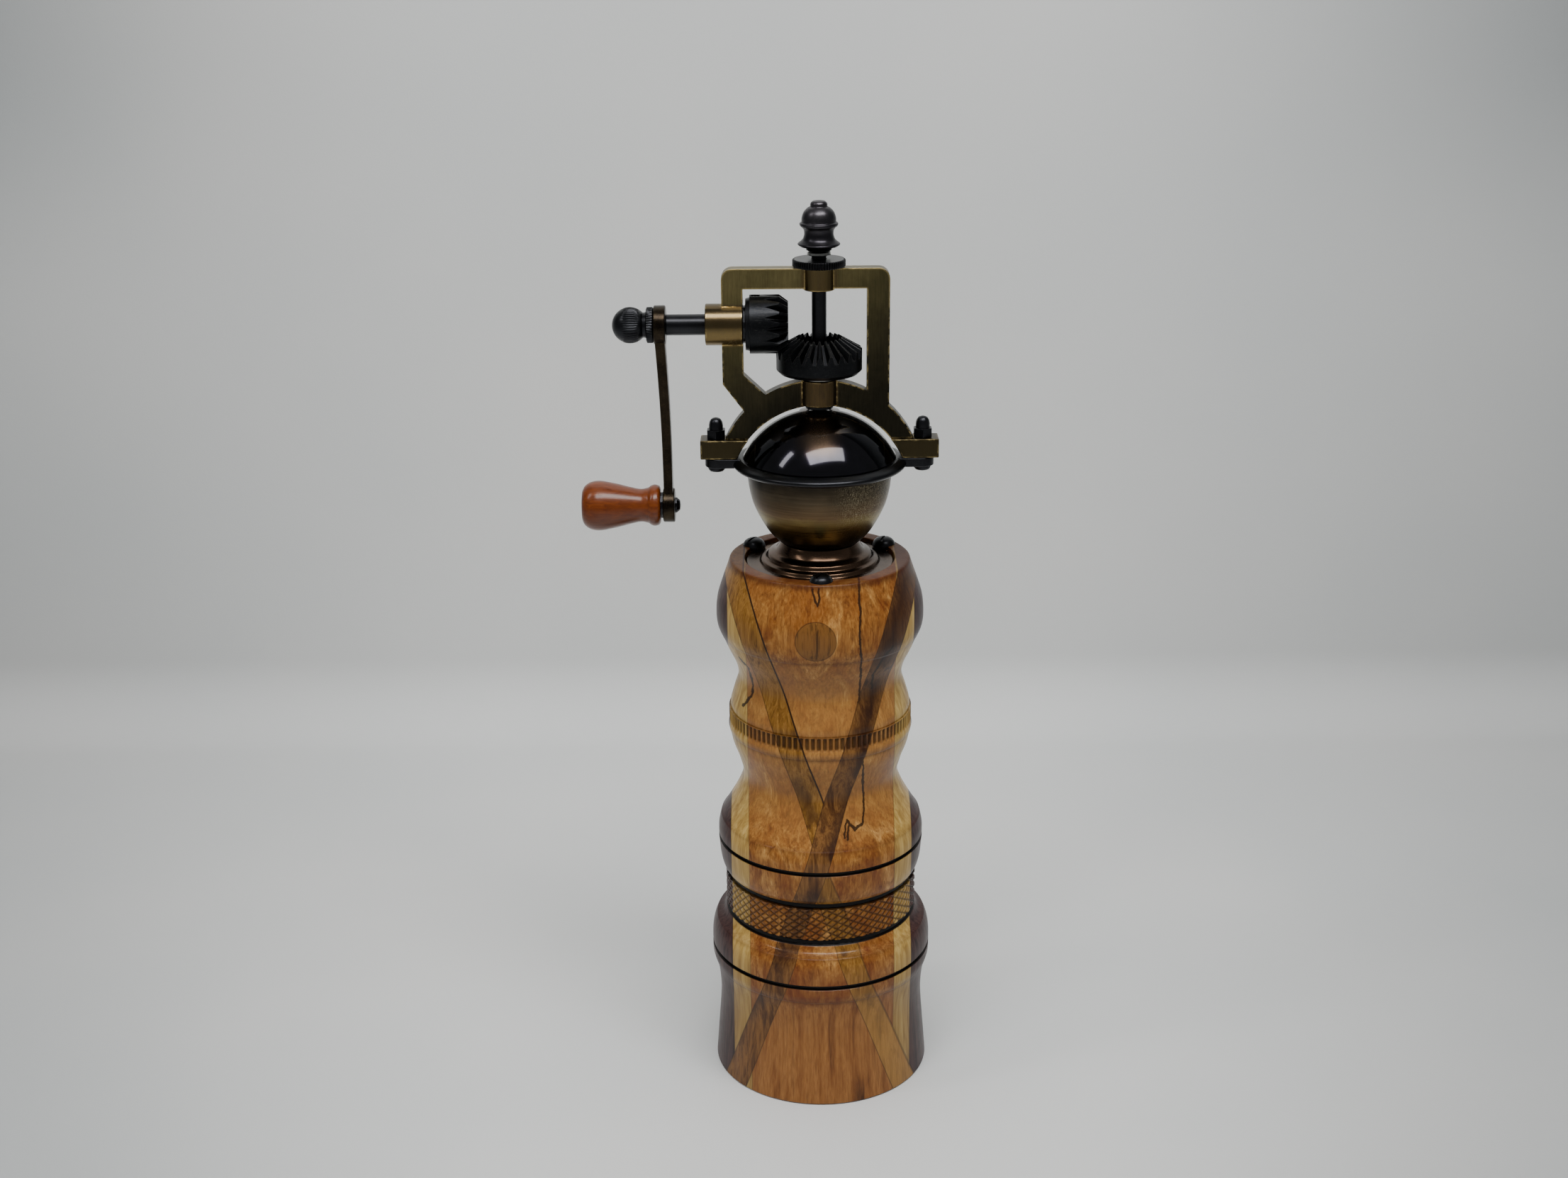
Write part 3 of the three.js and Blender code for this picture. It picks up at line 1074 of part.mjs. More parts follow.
function pinionWasher() {
  return turnedRing([
    [CRANK_SHAFT_RADIUS + RUN_GAP, WASHER_NEAR],
    [SIDE_BOSS_RADIUS - 0.6, WASHER_NEAR],
    [SIDE_BOSS_RADIUS - 0.6, WASHER_FAR],
    [CRANK_SHAFT_RADIUS + RUN_GAP, WASHER_FAR],
  ], ROUND_MEDIUM);
}

// The arm hangs down, towards -X here, and leans a little towards the mill.
function crankArm() {
  const lowNear = ARM_EYE_NEAR - ARM_LEAN;
  const eye = rod(ARM_EYE_RADIUS, ARM_EYE_NEAR, EYE_FAR, ROUND_MEDIUM);
  const end = rod(ARM_END_RADIUS, lowNear, lowNear + ARM_EYE_THICKNESS, ROUND_MEDIUM, -ARM_LENGTH);
  const mid = ARM_EYE_NEAR + 0.2;
  const lowMid = lowNear + 0.1;
  const side = new THREE.Shape();
  side.moveTo(-3, mid);
  side.lineTo(-3, mid + ARM_BAR_THICKNESS);
  side.lineTo(-ARM_LENGTH + 3, lowMid + ARM_BAR_THICKNESS);
  side.lineTo(-ARM_LENGTH + 3, lowMid);
  side.closePath();
  const bar = solid(new THREE.ExtrudeGeometry(side, { depth: ARM_BAR_WIDTH, bevelEnabled: false })
    .translate(0, 0, -ARM_BAR_WIDTH / 2).rotateX(Math.PI / 2));
  return cut(
    join(eye, end, bar),
    rod(CRANK_TENON_RADIUS + SEAT_GAP, 0, EYE_FAR + OVERRUN, ROUND_SMALL),
    rod(AXLE_RADIUS + SEAT_GAP, 0, EYE_FAR + OVERRUN, ROUND_SMALL, -ARM_LENGTH),
  );
}

function ballNut() {
  const start = EYE_FAR + SEAT_GAP;
  const ball = domeArc(
    BALL_RADIUS, BALL_CENTRE, BALL_CENTRE - BALL_RADIUS * 0.72, BALL_CENTRE + BALL_RADIUS, 8,
  );
  const body = turned([
    [0, start], [5.5, start], [5.8, start + 0.3], [5.8, start + 2.0], [5.2, start + 2.3],
    [4.2, start + 2.4], ...ball.slice(0, -1), [0, BALL_CENTRE + BALL_RADIUS],
  ], ROUND_MEDIUM);
  return cut(body, rod(CRANK_TENON_RADIUS + SEAT_GAP, start - 1, EYE_FAR + BALL_BORE_DEPTH, ROUND_SMALL));
}

add(crank, 'crank_shaft', crankShaft(), BLACK_STEEL);
add(crank, 'pinion_gear', pinionGear(), BLACK_STEEL);
add(crank, 'pinion_set_screw', setScrew(), BRIGHT_STEEL);
add(crank, 'pinion_washer', pinionWasher(), BLACK_STEEL);
add(crank, 'crank_arm', crankArm(), ANTIQUE_BRASS);
add(crank, 'ball_nut', ballNut(), BLACK_NICKEL);

// ---------------------------------------------------------------- knob on its axle

const knobGroup = new THREE.Group();
knobGroup.position.x = -ARM_LENGTH;
crank.add(knobGroup);

const LOW_NEAR = ARM_EYE_NEAR - ARM_LEAN;
const LOW_FAR = LOW_NEAR + ARM_EYE_THICKNESS;
const SPACER_THICKNESS = 0.7;
const KNOB_NEAR = LOW_FAR + SEAT_GAP * 2 + SPACER_THICKNESS;
const KNOB_FAR = KNOB_NEAR + KNOB_LENGTH;
const CAP_DEPTH = 1.4;
const CAP_RADIUS = 3.2;

function knobAxle() {
  const head = turned([
    [0, LOW_NEAR - SEAT_GAP - AXLE_HEAD_HEIGHT],
    [AXLE_HEAD_RADIUS * 0.62, LOW_NEAR - SEAT_GAP - AXLE_HEAD_HEIGHT * 0.86],
    [AXLE_HEAD_RADIUS, LOW_NEAR - SEAT_GAP - AXLE_HEAD_HEIGHT * 0.3],
    [AXLE_HEAD_RADIUS, LOW_NEAR - SEAT_GAP],
    [0, LOW_NEAR - SEAT_GAP],
  ], ROUND_SMALL);
  const pin = rod(AXLE_RADIUS, LOW_NEAR - 1, KNOB_FAR - CAP_DEPTH - SEAT_GAP, ROUND_SMALL);
  const tip = rod(AXLE_RADIUS - 0.7, KNOB_FAR - CAP_DEPTH - 1, KNOB_FAR - 0.5, ROUND_SMALL);
  return join(head, pin, tip);
}

function knob() {
  const n = KNOB_NEAR;
  const outline = [
    [0, n], [KNOB_BEAD_RADIUS - 1.3, n],
    ...smooth([
      [KNOB_BEAD_RADIUS - 0.4, n + 0.5], [KNOB_BEAD_RADIUS, n + 1.9], [KNOB_BEAD_RADIUS - 0.3, n + 3.1],
      [KNOB_NECK_RADIUS + 0.4, n + 4.4], [KNOB_NECK_RADIUS, n + 6.6], [KNOB_NECK_RADIUS + 0.7, n + 10.2],
      [KNOB_RADIUS - 0.9, n + 15], [KNOB_RADIUS, n + 20], [KNOB_RADIUS - 0.6, n + 23.4],
      [KNOB_RADIUS - 2.2, KNOB_FAR - 0.4],
    ], 12),
    [KNOB_RADIUS - 3.2, KNOB_FAR], [0, KNOB_FAR],
  ];
  return cut(
    turned(outline, ROUND_MEDIUM),
    rod(AXLE_RADIUS + RUN_GAP, n - 1, KNOB_FAR + 1, ROUND_SMALL),
    rod(CAP_RADIUS + RUN_GAP, KNOB_FAR - CAP_DEPTH - SEAT_GAP, KNOB_FAR + 1, ROUND_SMALL),
  );
}

add(knobGroup, 'knob_axle', knobAxle(), BLACK_STEEL);
add(knobGroup, 'knob_spacer', turnedRing([
  [AXLE_RADIUS + SEAT_GAP, LOW_FAR + SEAT_GAP], [4.4, LOW_FAR + SEAT_GAP],
  [4.4, LOW_FAR + SEAT_GAP + SPACER_THICKNESS], [AXLE_RADIUS + SEAT_GAP, LOW_FAR + SEAT_GAP + SPACER_THICKNESS],
], ROUND_SMALL), BLACK_STEEL);
add(knobGroup, 'knob_cap', turnedRing([
  [AXLE_RADIUS - 0.7 + SEAT_GAP, KNOB_FAR - CAP_DEPTH + SEAT_GAP], [CAP_RADIUS, KNOB_FAR - CAP_DEPTH + SEAT_GAP],
  [CAP_RADIUS, KNOB_FAR - 0.5], [CAP_RADIUS - 0.4, KNOB_FAR - 0.2], [AXLE_RADIUS - 0.7 + SEAT_GAP, KNOB_FAR - 0.2],
], ROUND_SMALL), BLACK_STEEL);
add(knobGroup, 'crank_knob', knob(), CHERRY_WOOD);

// ---------------------------------------------------------------- place on the ground

// The origin is under the middle of the whole mill's width, from the knob's end to the right foot.
mill.position.x = (KNOB_FAR - FOOT_OUTER) / 2;

export default mill;
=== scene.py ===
# %% [markdown]
# # A hand-cranked pepper mill
# This lesson dresses a finished working model of a pepper mill: a turned, laminated wooden body that
# carries a small antique-finish mechanism with a crank, bevel gears, a bowl and a dome with a
# filler door. The working model fixes every size. We only build finer skins for its pieces
# and give each of them a finish, so the mill looks right and still turns.

# %% Load the working model
import functools
import math

import bmesh
import bpy
from mathutils import Matrix, Vector
from mathutils.geometry import interpolate_bezier


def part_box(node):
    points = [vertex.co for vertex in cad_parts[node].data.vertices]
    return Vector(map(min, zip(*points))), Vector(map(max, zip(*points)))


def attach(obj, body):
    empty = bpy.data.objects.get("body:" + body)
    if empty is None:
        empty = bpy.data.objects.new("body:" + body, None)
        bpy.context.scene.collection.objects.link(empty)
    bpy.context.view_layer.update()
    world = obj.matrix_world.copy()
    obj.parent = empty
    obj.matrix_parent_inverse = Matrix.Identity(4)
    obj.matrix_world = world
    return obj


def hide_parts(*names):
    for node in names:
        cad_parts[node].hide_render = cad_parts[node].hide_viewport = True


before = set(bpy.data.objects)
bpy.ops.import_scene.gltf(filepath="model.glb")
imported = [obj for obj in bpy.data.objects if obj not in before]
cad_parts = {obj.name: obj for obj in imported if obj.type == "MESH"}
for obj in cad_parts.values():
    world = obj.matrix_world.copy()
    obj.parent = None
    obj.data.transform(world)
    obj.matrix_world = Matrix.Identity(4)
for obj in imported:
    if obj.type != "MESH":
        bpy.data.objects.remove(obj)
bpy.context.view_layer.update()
MM = 0.001
TURN = 2 * math.pi


def middle(node):
    """The middle of a node's box, in millimetres."""
    low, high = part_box(node)
    return (low + high) / 2 / MM


def levels(node):
    """The lowest and highest level of a node, in millimetres."""
    low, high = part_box(node)
    return low.z / MM, high.z / MM


AXIS_X = middle("wood_body").x
MILL_AXIS = (AXIS_X, 0, 0)
BODY_TOP = levels("wood_body")[1]
CRANK_Z = middle("ball_nut").z
print("mill axis at x =", round(AXIS_X, 2), "mm, crank axis at z =", round(CRANK_Z, 2), "mm")

# %% [markdown]
# ## Camera
# A camera can be placed by eye or worked out. Here the height and tilt come from how round the
# mill's rims look: a circle seen from higher up is a fuller ellipse. The lens is a short
# telephoto of about 47 mm, which keeps the tall body from leaning outwards.

# %% Place the camera
camera_data = bpy.data.cameras.new("table_camera")
camera_data.sensor_width = 36
camera_data.lens = 47.2
camera = bpy.data.objects.new("table_camera", camera_data)
camera.location = (AXIS_X * MM - 0.0121, -0.6555, 0.4101)
TILT, ROLL = math.radians(70.52), math.radians(-0.5)
camera.rotation_euler = (Matrix.Rotation(TILT, 3, "X") @ Matrix.Rotation(ROLL, 3, "Z")).to_euler()
bpy.context.scene.collection.objects.link(camera)
bpy.context.scene.camera = camera
print("camera at", [round(v, 3) for v in camera.location])

# %% [markdown]
# ## Floor and backdrop
# A photographer's table has one sheet of pale paper that lies flat and then curves up behind the
# object, so no hard line crosses the picture. One line of vertices drawn sideways becomes
# that sheet: extrude it back, around the bend and up.

# %% Roll out the paper
SWEEP_BACK = 0.27
SWEEP_BEND = 0.035


def paper_sweep():
    sheet = bmesh.new()
    ends = [sheet.verts.new((x, -1.6, 0)) for x in (-2.2, 2.2)]
    edge = [sheet.edges.new(ends)]
    path = [Vector((0, 1.6 + SWEEP_BACK, 0))]
    bends = 12
    for i in range(bends):
        a, b = (math.pi / 2 * k / bends for k in (i, i + 1))
        path.append(SWEEP_BEND * Vector((0, math.sin(b) - math.sin(a), math.cos(a) - math.cos(b))))
    path.append(Vector((0, 0.02, 1.6)))
    for step in path:
        grown = bmesh.ops.extrude_edge_only(sheet, edges=edge)["geom"]
        points = [g for g in grown if isinstance(g, bmesh.types.BMVert)]
        edge = [g for g in grown if isinstance(g, bmesh.types.BMEdge)]
        bmesh.ops.translate(sheet, verts=points, vec=step)
    sheet.normal_update()
    if min(sheet.faces, key=lambda face: face.calc_center_median().z).normal.z < 0:
        bmesh.ops.reverse_faces(sheet, faces=sheet.faces[:])
    mesh = bpy.data.meshes.new("paper_sweep")
    sheet.to_mesh(mesh)
    sheet.free()
    mesh.shade_smooth()
    piece = bpy.data.objects.new("paper_sweep", mesh)
    bpy.context.scene.collection.objects.link(piece)
    return piece


paper = paper_sweep()
print("paper faces:", len(paper.data.polygons))

# %% [markdown]
# ## Lights
# Small bright lamps make hard shadows and pin-point highlights. The mill stands in a soft,
# nearly shadowless light, so a few large area lights do the work, and a dim sky fills
# the rest. Two of them are mirrored in the dome, as one broad highlight and one narrow one, and the
# others are hidden from reflections.

# %% Hang the lights


def soft_light(name, place, aim, size, power, mirrored=True):
    """A rectangular lamp; one that is not mirrored lights surfaces but leaves no highlight."""
    data = bpy.data.lights.new(name, "AREA")
    data.shape = "RECTANGLE"
    data.size, data.size_y = size
    data.energy = power
    lamp = bpy.data.objects.new(name, data)
    lamp.location = place
    lamp.rotation_euler = (Vector(aim) - Vector(place)).to_track_quat("-Z", "Y").to_euler()
    lamp.visible_glossy = mirrored
    bpy.context.scene.collection.objects.link(lamp)
    return lamp


soft_light("overhead", (0.13, -0.37, 1.0), (0.02, 0.05, 0.1), (0.72, 0.3), 8.5)
soft_light("left_strip", (-0.8, -0.3, 1.1), (0, 0, 0.2), (0.14, 0.45), 2)
soft_light("backdrop_wash", (0.0, 0.0, 1.2), (0, 0.25, 0.1), (0.9, 0.4), 5, False)
soft_light("front_left", (-0.8, -1.0, 1.0), (0, 0, 0.15), (0.5, 0.5), 6, False)
soft_light("front_right", (0.9, -0.9, 0.9), (0, 0, 0.15), (0.4, 0.6), 3, False)
world = bpy.data.worlds.new("dim_sky")
world.use_nodes = True
world.node_tree.nodes["Background"].inputs["Color"].default_value = (0.78, 0.8, 0.82, 1)
world.node_tree.nodes["Background"].inputs["Strength"].default_value = 0.24
bpy.context.scene.world = world

# %% [markdown]
# ## Shader maths that reads like arithmetic
# Every finish is a graph of nodes. Wiring them by hand hides the idea, so a value in a
# graph is wrapped in a small class: adding or multiplying two of them adds a Math node.
# Every other node comes from one method that takes its kind, its settings and its sockets.

# %% A wrapped socket and a finish


class Value:
    def __init__(self, finish, socket):
        self.finish, self.socket = finish, socket

    def maths(self, operation, *values):
        sockets = dict(enumerate(values))
        return self.finish.node("ShaderNodeMath", {"operation": operation}, sockets)

    def __add__(self, other):
        return self.maths("ADD", self, other)

    def __sub__(self, other):
        return self.maths("SUBTRACT", self, other)

    def __rsub__(self, other):
        return self.maths("SUBTRACT", other, self)

    def __mul__(self, other):
        return self.maths("MULTIPLY", self, other)

    def __truediv__(self, other):
        return self.maths("DIVIDE", self, other)

    __radd__ = __add__
    __rmul__ = __mul__

    def __abs__(self):
        return self.maths("ABSOLUTE", self)

    def root(self):
        return self.maths("SQRT", self)

    def least(self, other):
        return self.maths("MINIMUM", self, other)

    def most(self, other):
        return self.maths("MAXIMUM", self, other)

    def step(self, low, high):
        """0 below low, 1 above high, and a smooth rise between them."""
        settings = {"interpolation_type": "SMOOTHSTEP"}
        sockets = {"Value": self, "From Min": low, "From Max": high}
        return self.finish.node("ShaderNodeMapRange", settings, sockets)


def shade(red, green, blue):
    """A colour as a picture shows it, 0 to 255, turned into the linear one that shaders use."""
    return tuple(
        v / 12.92 if v <= 0.04045 else ((v + 0.055) / 1.055) ** 2.4
        for v in (red / 255, green / 255, blue / 255)
    ) + (1.0,)


class Finish:
    def __init__(self, name, **fixed):
        self.material = bpy.data.materials.new(name)
        self.material.use_nodes = True
        self.tree = self.material.node_tree
        self.shader = self.tree.nodes["Principled BSDF"]
        for socket, value in fixed.items():
            self.shader.inputs[socket.replace("_", " ")].default_value = value

    def node(self, kind, settings=None, sockets=None, out=0):
        made = self.tree.nodes.new(kind)
        for key, value in (settings or {}).items():
            if key == "stops":
                self.fill_ramp(made.color_ramp, value)
            else:
                setattr(made, key, value)
        for key, value in (sockets or {}).items():
            self.plug(made.inputs[key], value)
        if kind == "ShaderNodeMix":
            out = 2
        return Value(self, made.outputs[out])

    def plug(self, socket, value):
        if isinstance(value, Value):
            self.tree.links.new(value.socket, socket)
        else:
            socket.default_value = value

    def fill_ramp(self, ramp, stops):
        while len(ramp.elements) < len(stops):
            ramp.elements.new(0.5)
        for element, (position, colour) in zip(ramp.elements, stops):
            element.position, element.color = position, colour

    def place(self, stretch=(1, 1, 1), turn=(0, 0, 0), origin=(0, 0, 0)):
        """Object coordinates in millimetres from an origin, stretched and turned."""
        point = self.node("ShaderNodeTexCoord", out=3)
        moved = self.node("ShaderNodeVectorMath", {"operation": "SUBTRACT"}, {
            0: point, 1: tuple(v * MM for v in origin)})
        scale = tuple(1000 * s for s in stretch)
        return self.node("ShaderNodeMapping", {}, {"Vector": moved, "Rotation": turn, "Scale": scale})

    def split(self, point):
        self.node("ShaderNodeSeparateXYZ", {}, {0: point})
        made = self.tree.nodes[-1]
        return [Value(self, made.outputs[i]) for i in range(3)]

    def noise(self, point, scale, detail=3, rough=0.55, warp=0):
        return self.node("ShaderNodeTexNoise", {}, {
            "Vector": point, "Scale": scale, "Detail": detail, "Roughness": rough, "Distortion": warp})

    def ramp(self, value, *stops):
        return self.node("ShaderNodeValToRGB", {"stops": stops}, {0: value})

    def mix(self, factor, first, second, blend="MIX"):
        return self.node("ShaderNodeMix", {"data_type": "RGBA", "blend_type": blend}, {
            0: factor, 6: first, 7: second})

    def bump(self, height, distance):
        return self.node("ShaderNodeBump", {}, {"Height": height, "Distance": distance * MM})

    def worn_edges(self, radius):
        """1 on convex and concave edges, where the softened normal leaves the real one."""
        soft = self.node("ShaderNodeBevel", {"samples": 6}, {"Radius": radius * MM})
        real = self.node("ShaderNodeNewGeometry", out=1)
        both = self.node("ShaderNodeVectorMath", {"operation": "DOT_PRODUCT"}, {0: soft, 1: real}, 1)
        return 1 - both

    def wear(self, colour=None, roughness=None, normal=None, **others):
        wired = {"Base Color": colour, "Roughness": roughness, "Normal": normal}
        wired.update({key.replace("_", " "): value for key, value in others.items()})
        for socket, value in wired.items():
            if value is not None:
                self.plug(self.shader.inputs[socket], value)
        return self.material


def paper_finish():
    """Pale paper with painted shade, darker up the wall and to the sides as if the lamps reached less there,
    and clear from behind.
    """
    f = Finish("pale_paper", Roughness=0.75)
    cloud = f.noise(f.place(), 0.006, 2)
    grain = f.noise(f.place(), 1.2, 2)
    x, y, z = f.split(f.place())
    colour = f.ramp(cloud, (0.3, shade(197, 199, 198)), (0.7, shade(204, 204, 202)))
    # painted shade: the wall darkens towards the top, and the sides and upper corners darker still
    colour = f.mix(z.step(20, 400) * 0.1, colour, shade(90, 94, 92))
    painted_side_shade = (abs(x) / (y + 655)).step(0.12, 0.5)
    colour = f.mix(painted_side_shade * 0.38 + painted_side_shade * z.step(200, 360) * 0.4, colour, shade(60, 68, 72))
    paper_seen = f.wear(colour, normal=f.bump(grain, 0.04))
    backface = f.node("ShaderNodeNewGeometry", out=6)
    clear = f.node("ShaderNodeBsdfTransparent")
    both = f.node("ShaderNodeMixShader", {}, {
        0: backface, 1: Value(f, f.shader.outputs[0]), 2: clear})
    f.plug(f.tree.nodes["Material Output"].inputs["Surface"], both)
    return paper_seen


paper.data.materials.append(paper_finish())
print("paper finish nodes:", len(paper.data.materials[0].node_tree.nodes))

# %% [markdown]
# ## Laminated wood
# The body is glued up from boards before it is turned. The middle is spalted maple; two thin
# walnut strips cross in an X through it; pale strips and dark outer boards stand on either side.
# The glue planes go straight through the block, so all of it is a function of x and z alone, and the
# curves on the turned surface come by themselves. Unwrapping the body and painting it would be the
# other way, but it would have to fake those curves.

# %% Make the laminated wood
GLUE = 0.16
LEAN = math.atan(0.32)
PALE_AT, DARK_AT = 24.8, 31.05
PLUG_X, PLUG_Z, PLUG_RADIUS = -2.0, 172.0, 6.7


def wood_grain(f, colours, stretch, scale, turn=(0, 0, 0), warp=0.4, contrast=(0.32, 0.7)):
    """Fibres: noise drawn out along the board, ramped through a few colours."""
    point = f.place(stretch, turn, MILL_AXIS)
    fibres = f.noise(point, scale, 4, 0.62, warp)
    low, high = contrast
    stops = [(low + (high - low) * i / (len(colours) - 1), c) for i, c in enumerate(colours)]
    return f.ramp(fibres, *stops)


def distance_to(f, point, lines):
    """How far a point of the x-z plane is from the nearest of several lines through (x, z) places."""
    aways = []
    for (x0, z0), (x1, z1) in (ends for line in lines for ends in zip(line, line[1:])):
        run = Vector((x1 - x0, 0, z1 - z0))
        start = f.node("ShaderNodeVectorMath", {"operation": "SUBTRACT"}, {0: point, 1: (x0, 0, z0)})
        along = f.node("ShaderNodeVectorMath", {"operation": "DOT_PRODUCT"}, {
            0: start, 1: tuple(run / run.length_squared)}, 1)
        share = f.node("ShaderNodeMath", {"operation": "ADD", "use_clamp": True}, {0: along, 1: 0})
        foot = f.node("ShaderNodeVectorMath", {"operation": "SCALE"}, {0: tuple(run), "Scale": share})
        aways.append(f.node("ShaderNodeVectorMath", {"operation": "DISTANCE"}, {0: start, 1: foot}, 1))
    return functools.reduce(Value.least, aways)


# The edges of the two slanting strips, as x = a + b z, and how far the first one's lower half moved.
FIRST_STRIP = [(28.8, -0.328), (37.3, -0.3305)]
FIRST_SHIFT = [(3.7, 0.02), (4.3, 0.016)]
SECOND_STRIP = [(-34.4, 0.3155), (-27.2, 0.3236)]
# Places in the block, as (x from the mill's axis, z), in millimetres.
SPALT_LINES = [
    [(12.3, 190), (12.0, 185), (12.7, 181.3), (12.3, 173), (13.0, 162.7), (12.6, 149), (11.9, 144),
     (15.3, 138.3), (13.8, 130), (14, 113), (14.3, 107), (13.7, 103.3), (12.6, 103.2), (11.3, 101.7),
     (9.9, 103.5), (8.6, 105.3), (7.8, 103.2), (7.7, 100)],
    [(12.1, 103), (11.4, 102.6), (9.4, 103.8), (8.8, 102.3), (8.7, 99.6)],
    [(-3, 189), (-2.1, 185.4), (-1.2, 183.7), (-0.7, 185.8), (-0.9, 189)],
    [(-27.3, 159.7), (-24.3, 156.9), (-23.1, 152), (-22.6, 149.5), (-23.3, 146), (-26.3, 141.5)],
    [(23.5, 167), (20, 162.5), (17, 156.8), (16.7, 151)]]
SMOKE_LINES = [
    [(28, 186), (20.5, 162)], [(17.5, 152), (14.5, 138)], [(15, 133), (11.5, 122)], [(9.5, 114), (4.2, 96)],
    [(-2.8, 80.5), (-4.2, 76)], [(-12.5, 58.5), (-15.5, 54.5)], [(-22.5, 39), (-27, 29)],
    [(-8.5, 118), (-3.2, 107)]]


def away_from(x, z, edge):
    """How far to the right of a slanting edge a point is."""
    start, lean = edge
    return x - (z * lean + start)


def between(left, right):
    """Inside a board that starts at one edge and ends at the other."""
    return left.step(-0.05, 0.05) * right.step(0.05, -0.05)


def body_boards(f, z):
    """The colours of the middle, the pale strips and the outer boards, each with its own grain."""
    blotch = f.noise(f.place((1, 1, 0.5), origin=MILL_AXIS), 0.1, 5, 0.65, 0.9)
    maple = f.ramp(blotch, (0.3, shade(122, 68, 30)), (0.44, shade(148, 98, 46)),
                   (0.56, shade(166, 120, 62)), (0.7, shade(204, 162, 100)))
    curl = wood_grain(f, [shade(156, 128, 112), shade(228, 214, 198), shade(255, 253, 248)],
                      (1, 1, 0.3), 0.42, warp=1.6)
    fine = wood_grain(f, [shade(180, 150, 124), shade(255, 255, 252)], (1, 1, 0.09), 1.6)
    ruddy = z.step(62, 44) * 0.42
    flecks = f.noise(f.place((1, 1, 0.18), origin=MILL_AXIS), 0.95, 3, 0.7).step(0.58, 0.68)
    maple = f.mix(0.75, f.mix(0.7, maple, curl, "MULTIPLY"), fine, "MULTIPLY")
    maple = f.mix(flecks * 0.6, maple, shade(84, 42, 12))
    foot_grain_in_painted_shade = wood_grain(
        f, [shade(70, 42, 20), shade(126, 80, 38), shade(148, 102, 54), shade(106, 66, 32)],
        (1, 1, 0.018), 0.27, warp=0.25, contrast=(0.3, 0.68))
    maple = f.mix(z.step(92, 112) * z.step(166, 150) * 0.17, maple, shade(200, 154, 92))
    maple = f.mix(ruddy, maple, shade(92, 46, 24))
    # below the cove the foot takes a browner, streaky grain: the streaks are grain, the browner tone is
    # painted shade
    maple = f.mix(z.step(42, 37), maple, f.mix(0.6, foot_grain_in_painted_shade, fine, "MULTIPLY"))
    # painted sheen: a greyish band on the upper part of the finger hollow, where the overhead lamp is
    # mirrored
    painted_neck_sheen = z.step(148, 153) * z.step(166, 160) * 0.2
    maple = f.mix(painted_neck_sheen, maple, shade(128, 92, 58))
    pale = wood_grain(f, [shade(136, 104, 50), shade(166, 134, 72), shade(190, 160, 96)],
                      (1, 1, 0.05), 0.5)
    pale = f.mix(z.step(64, 34) * 0.4, pale, shade(92, 66, 38))
    dark = wood_grain(f, [shade(34, 20, 20), shade(58, 38, 37), shade(74, 52, 47)], (1, 1, 0.05), 0.7)
    return maple, pale, dark


def walnut(f, lean, low, mid, high):
    boards = wood_grain(f, [low, mid, high, mid], (1, 1, 0.1), 0.4, (0, lean, 0), 1.0)
    pores = wood_grain(f, [shade(160, 130, 110), shade(255, 255, 250)], (1, 1, 0.06), 2.0, (0, lean, 0))
    return f.mix(0.6, boards, pores, "MULTIPLY")


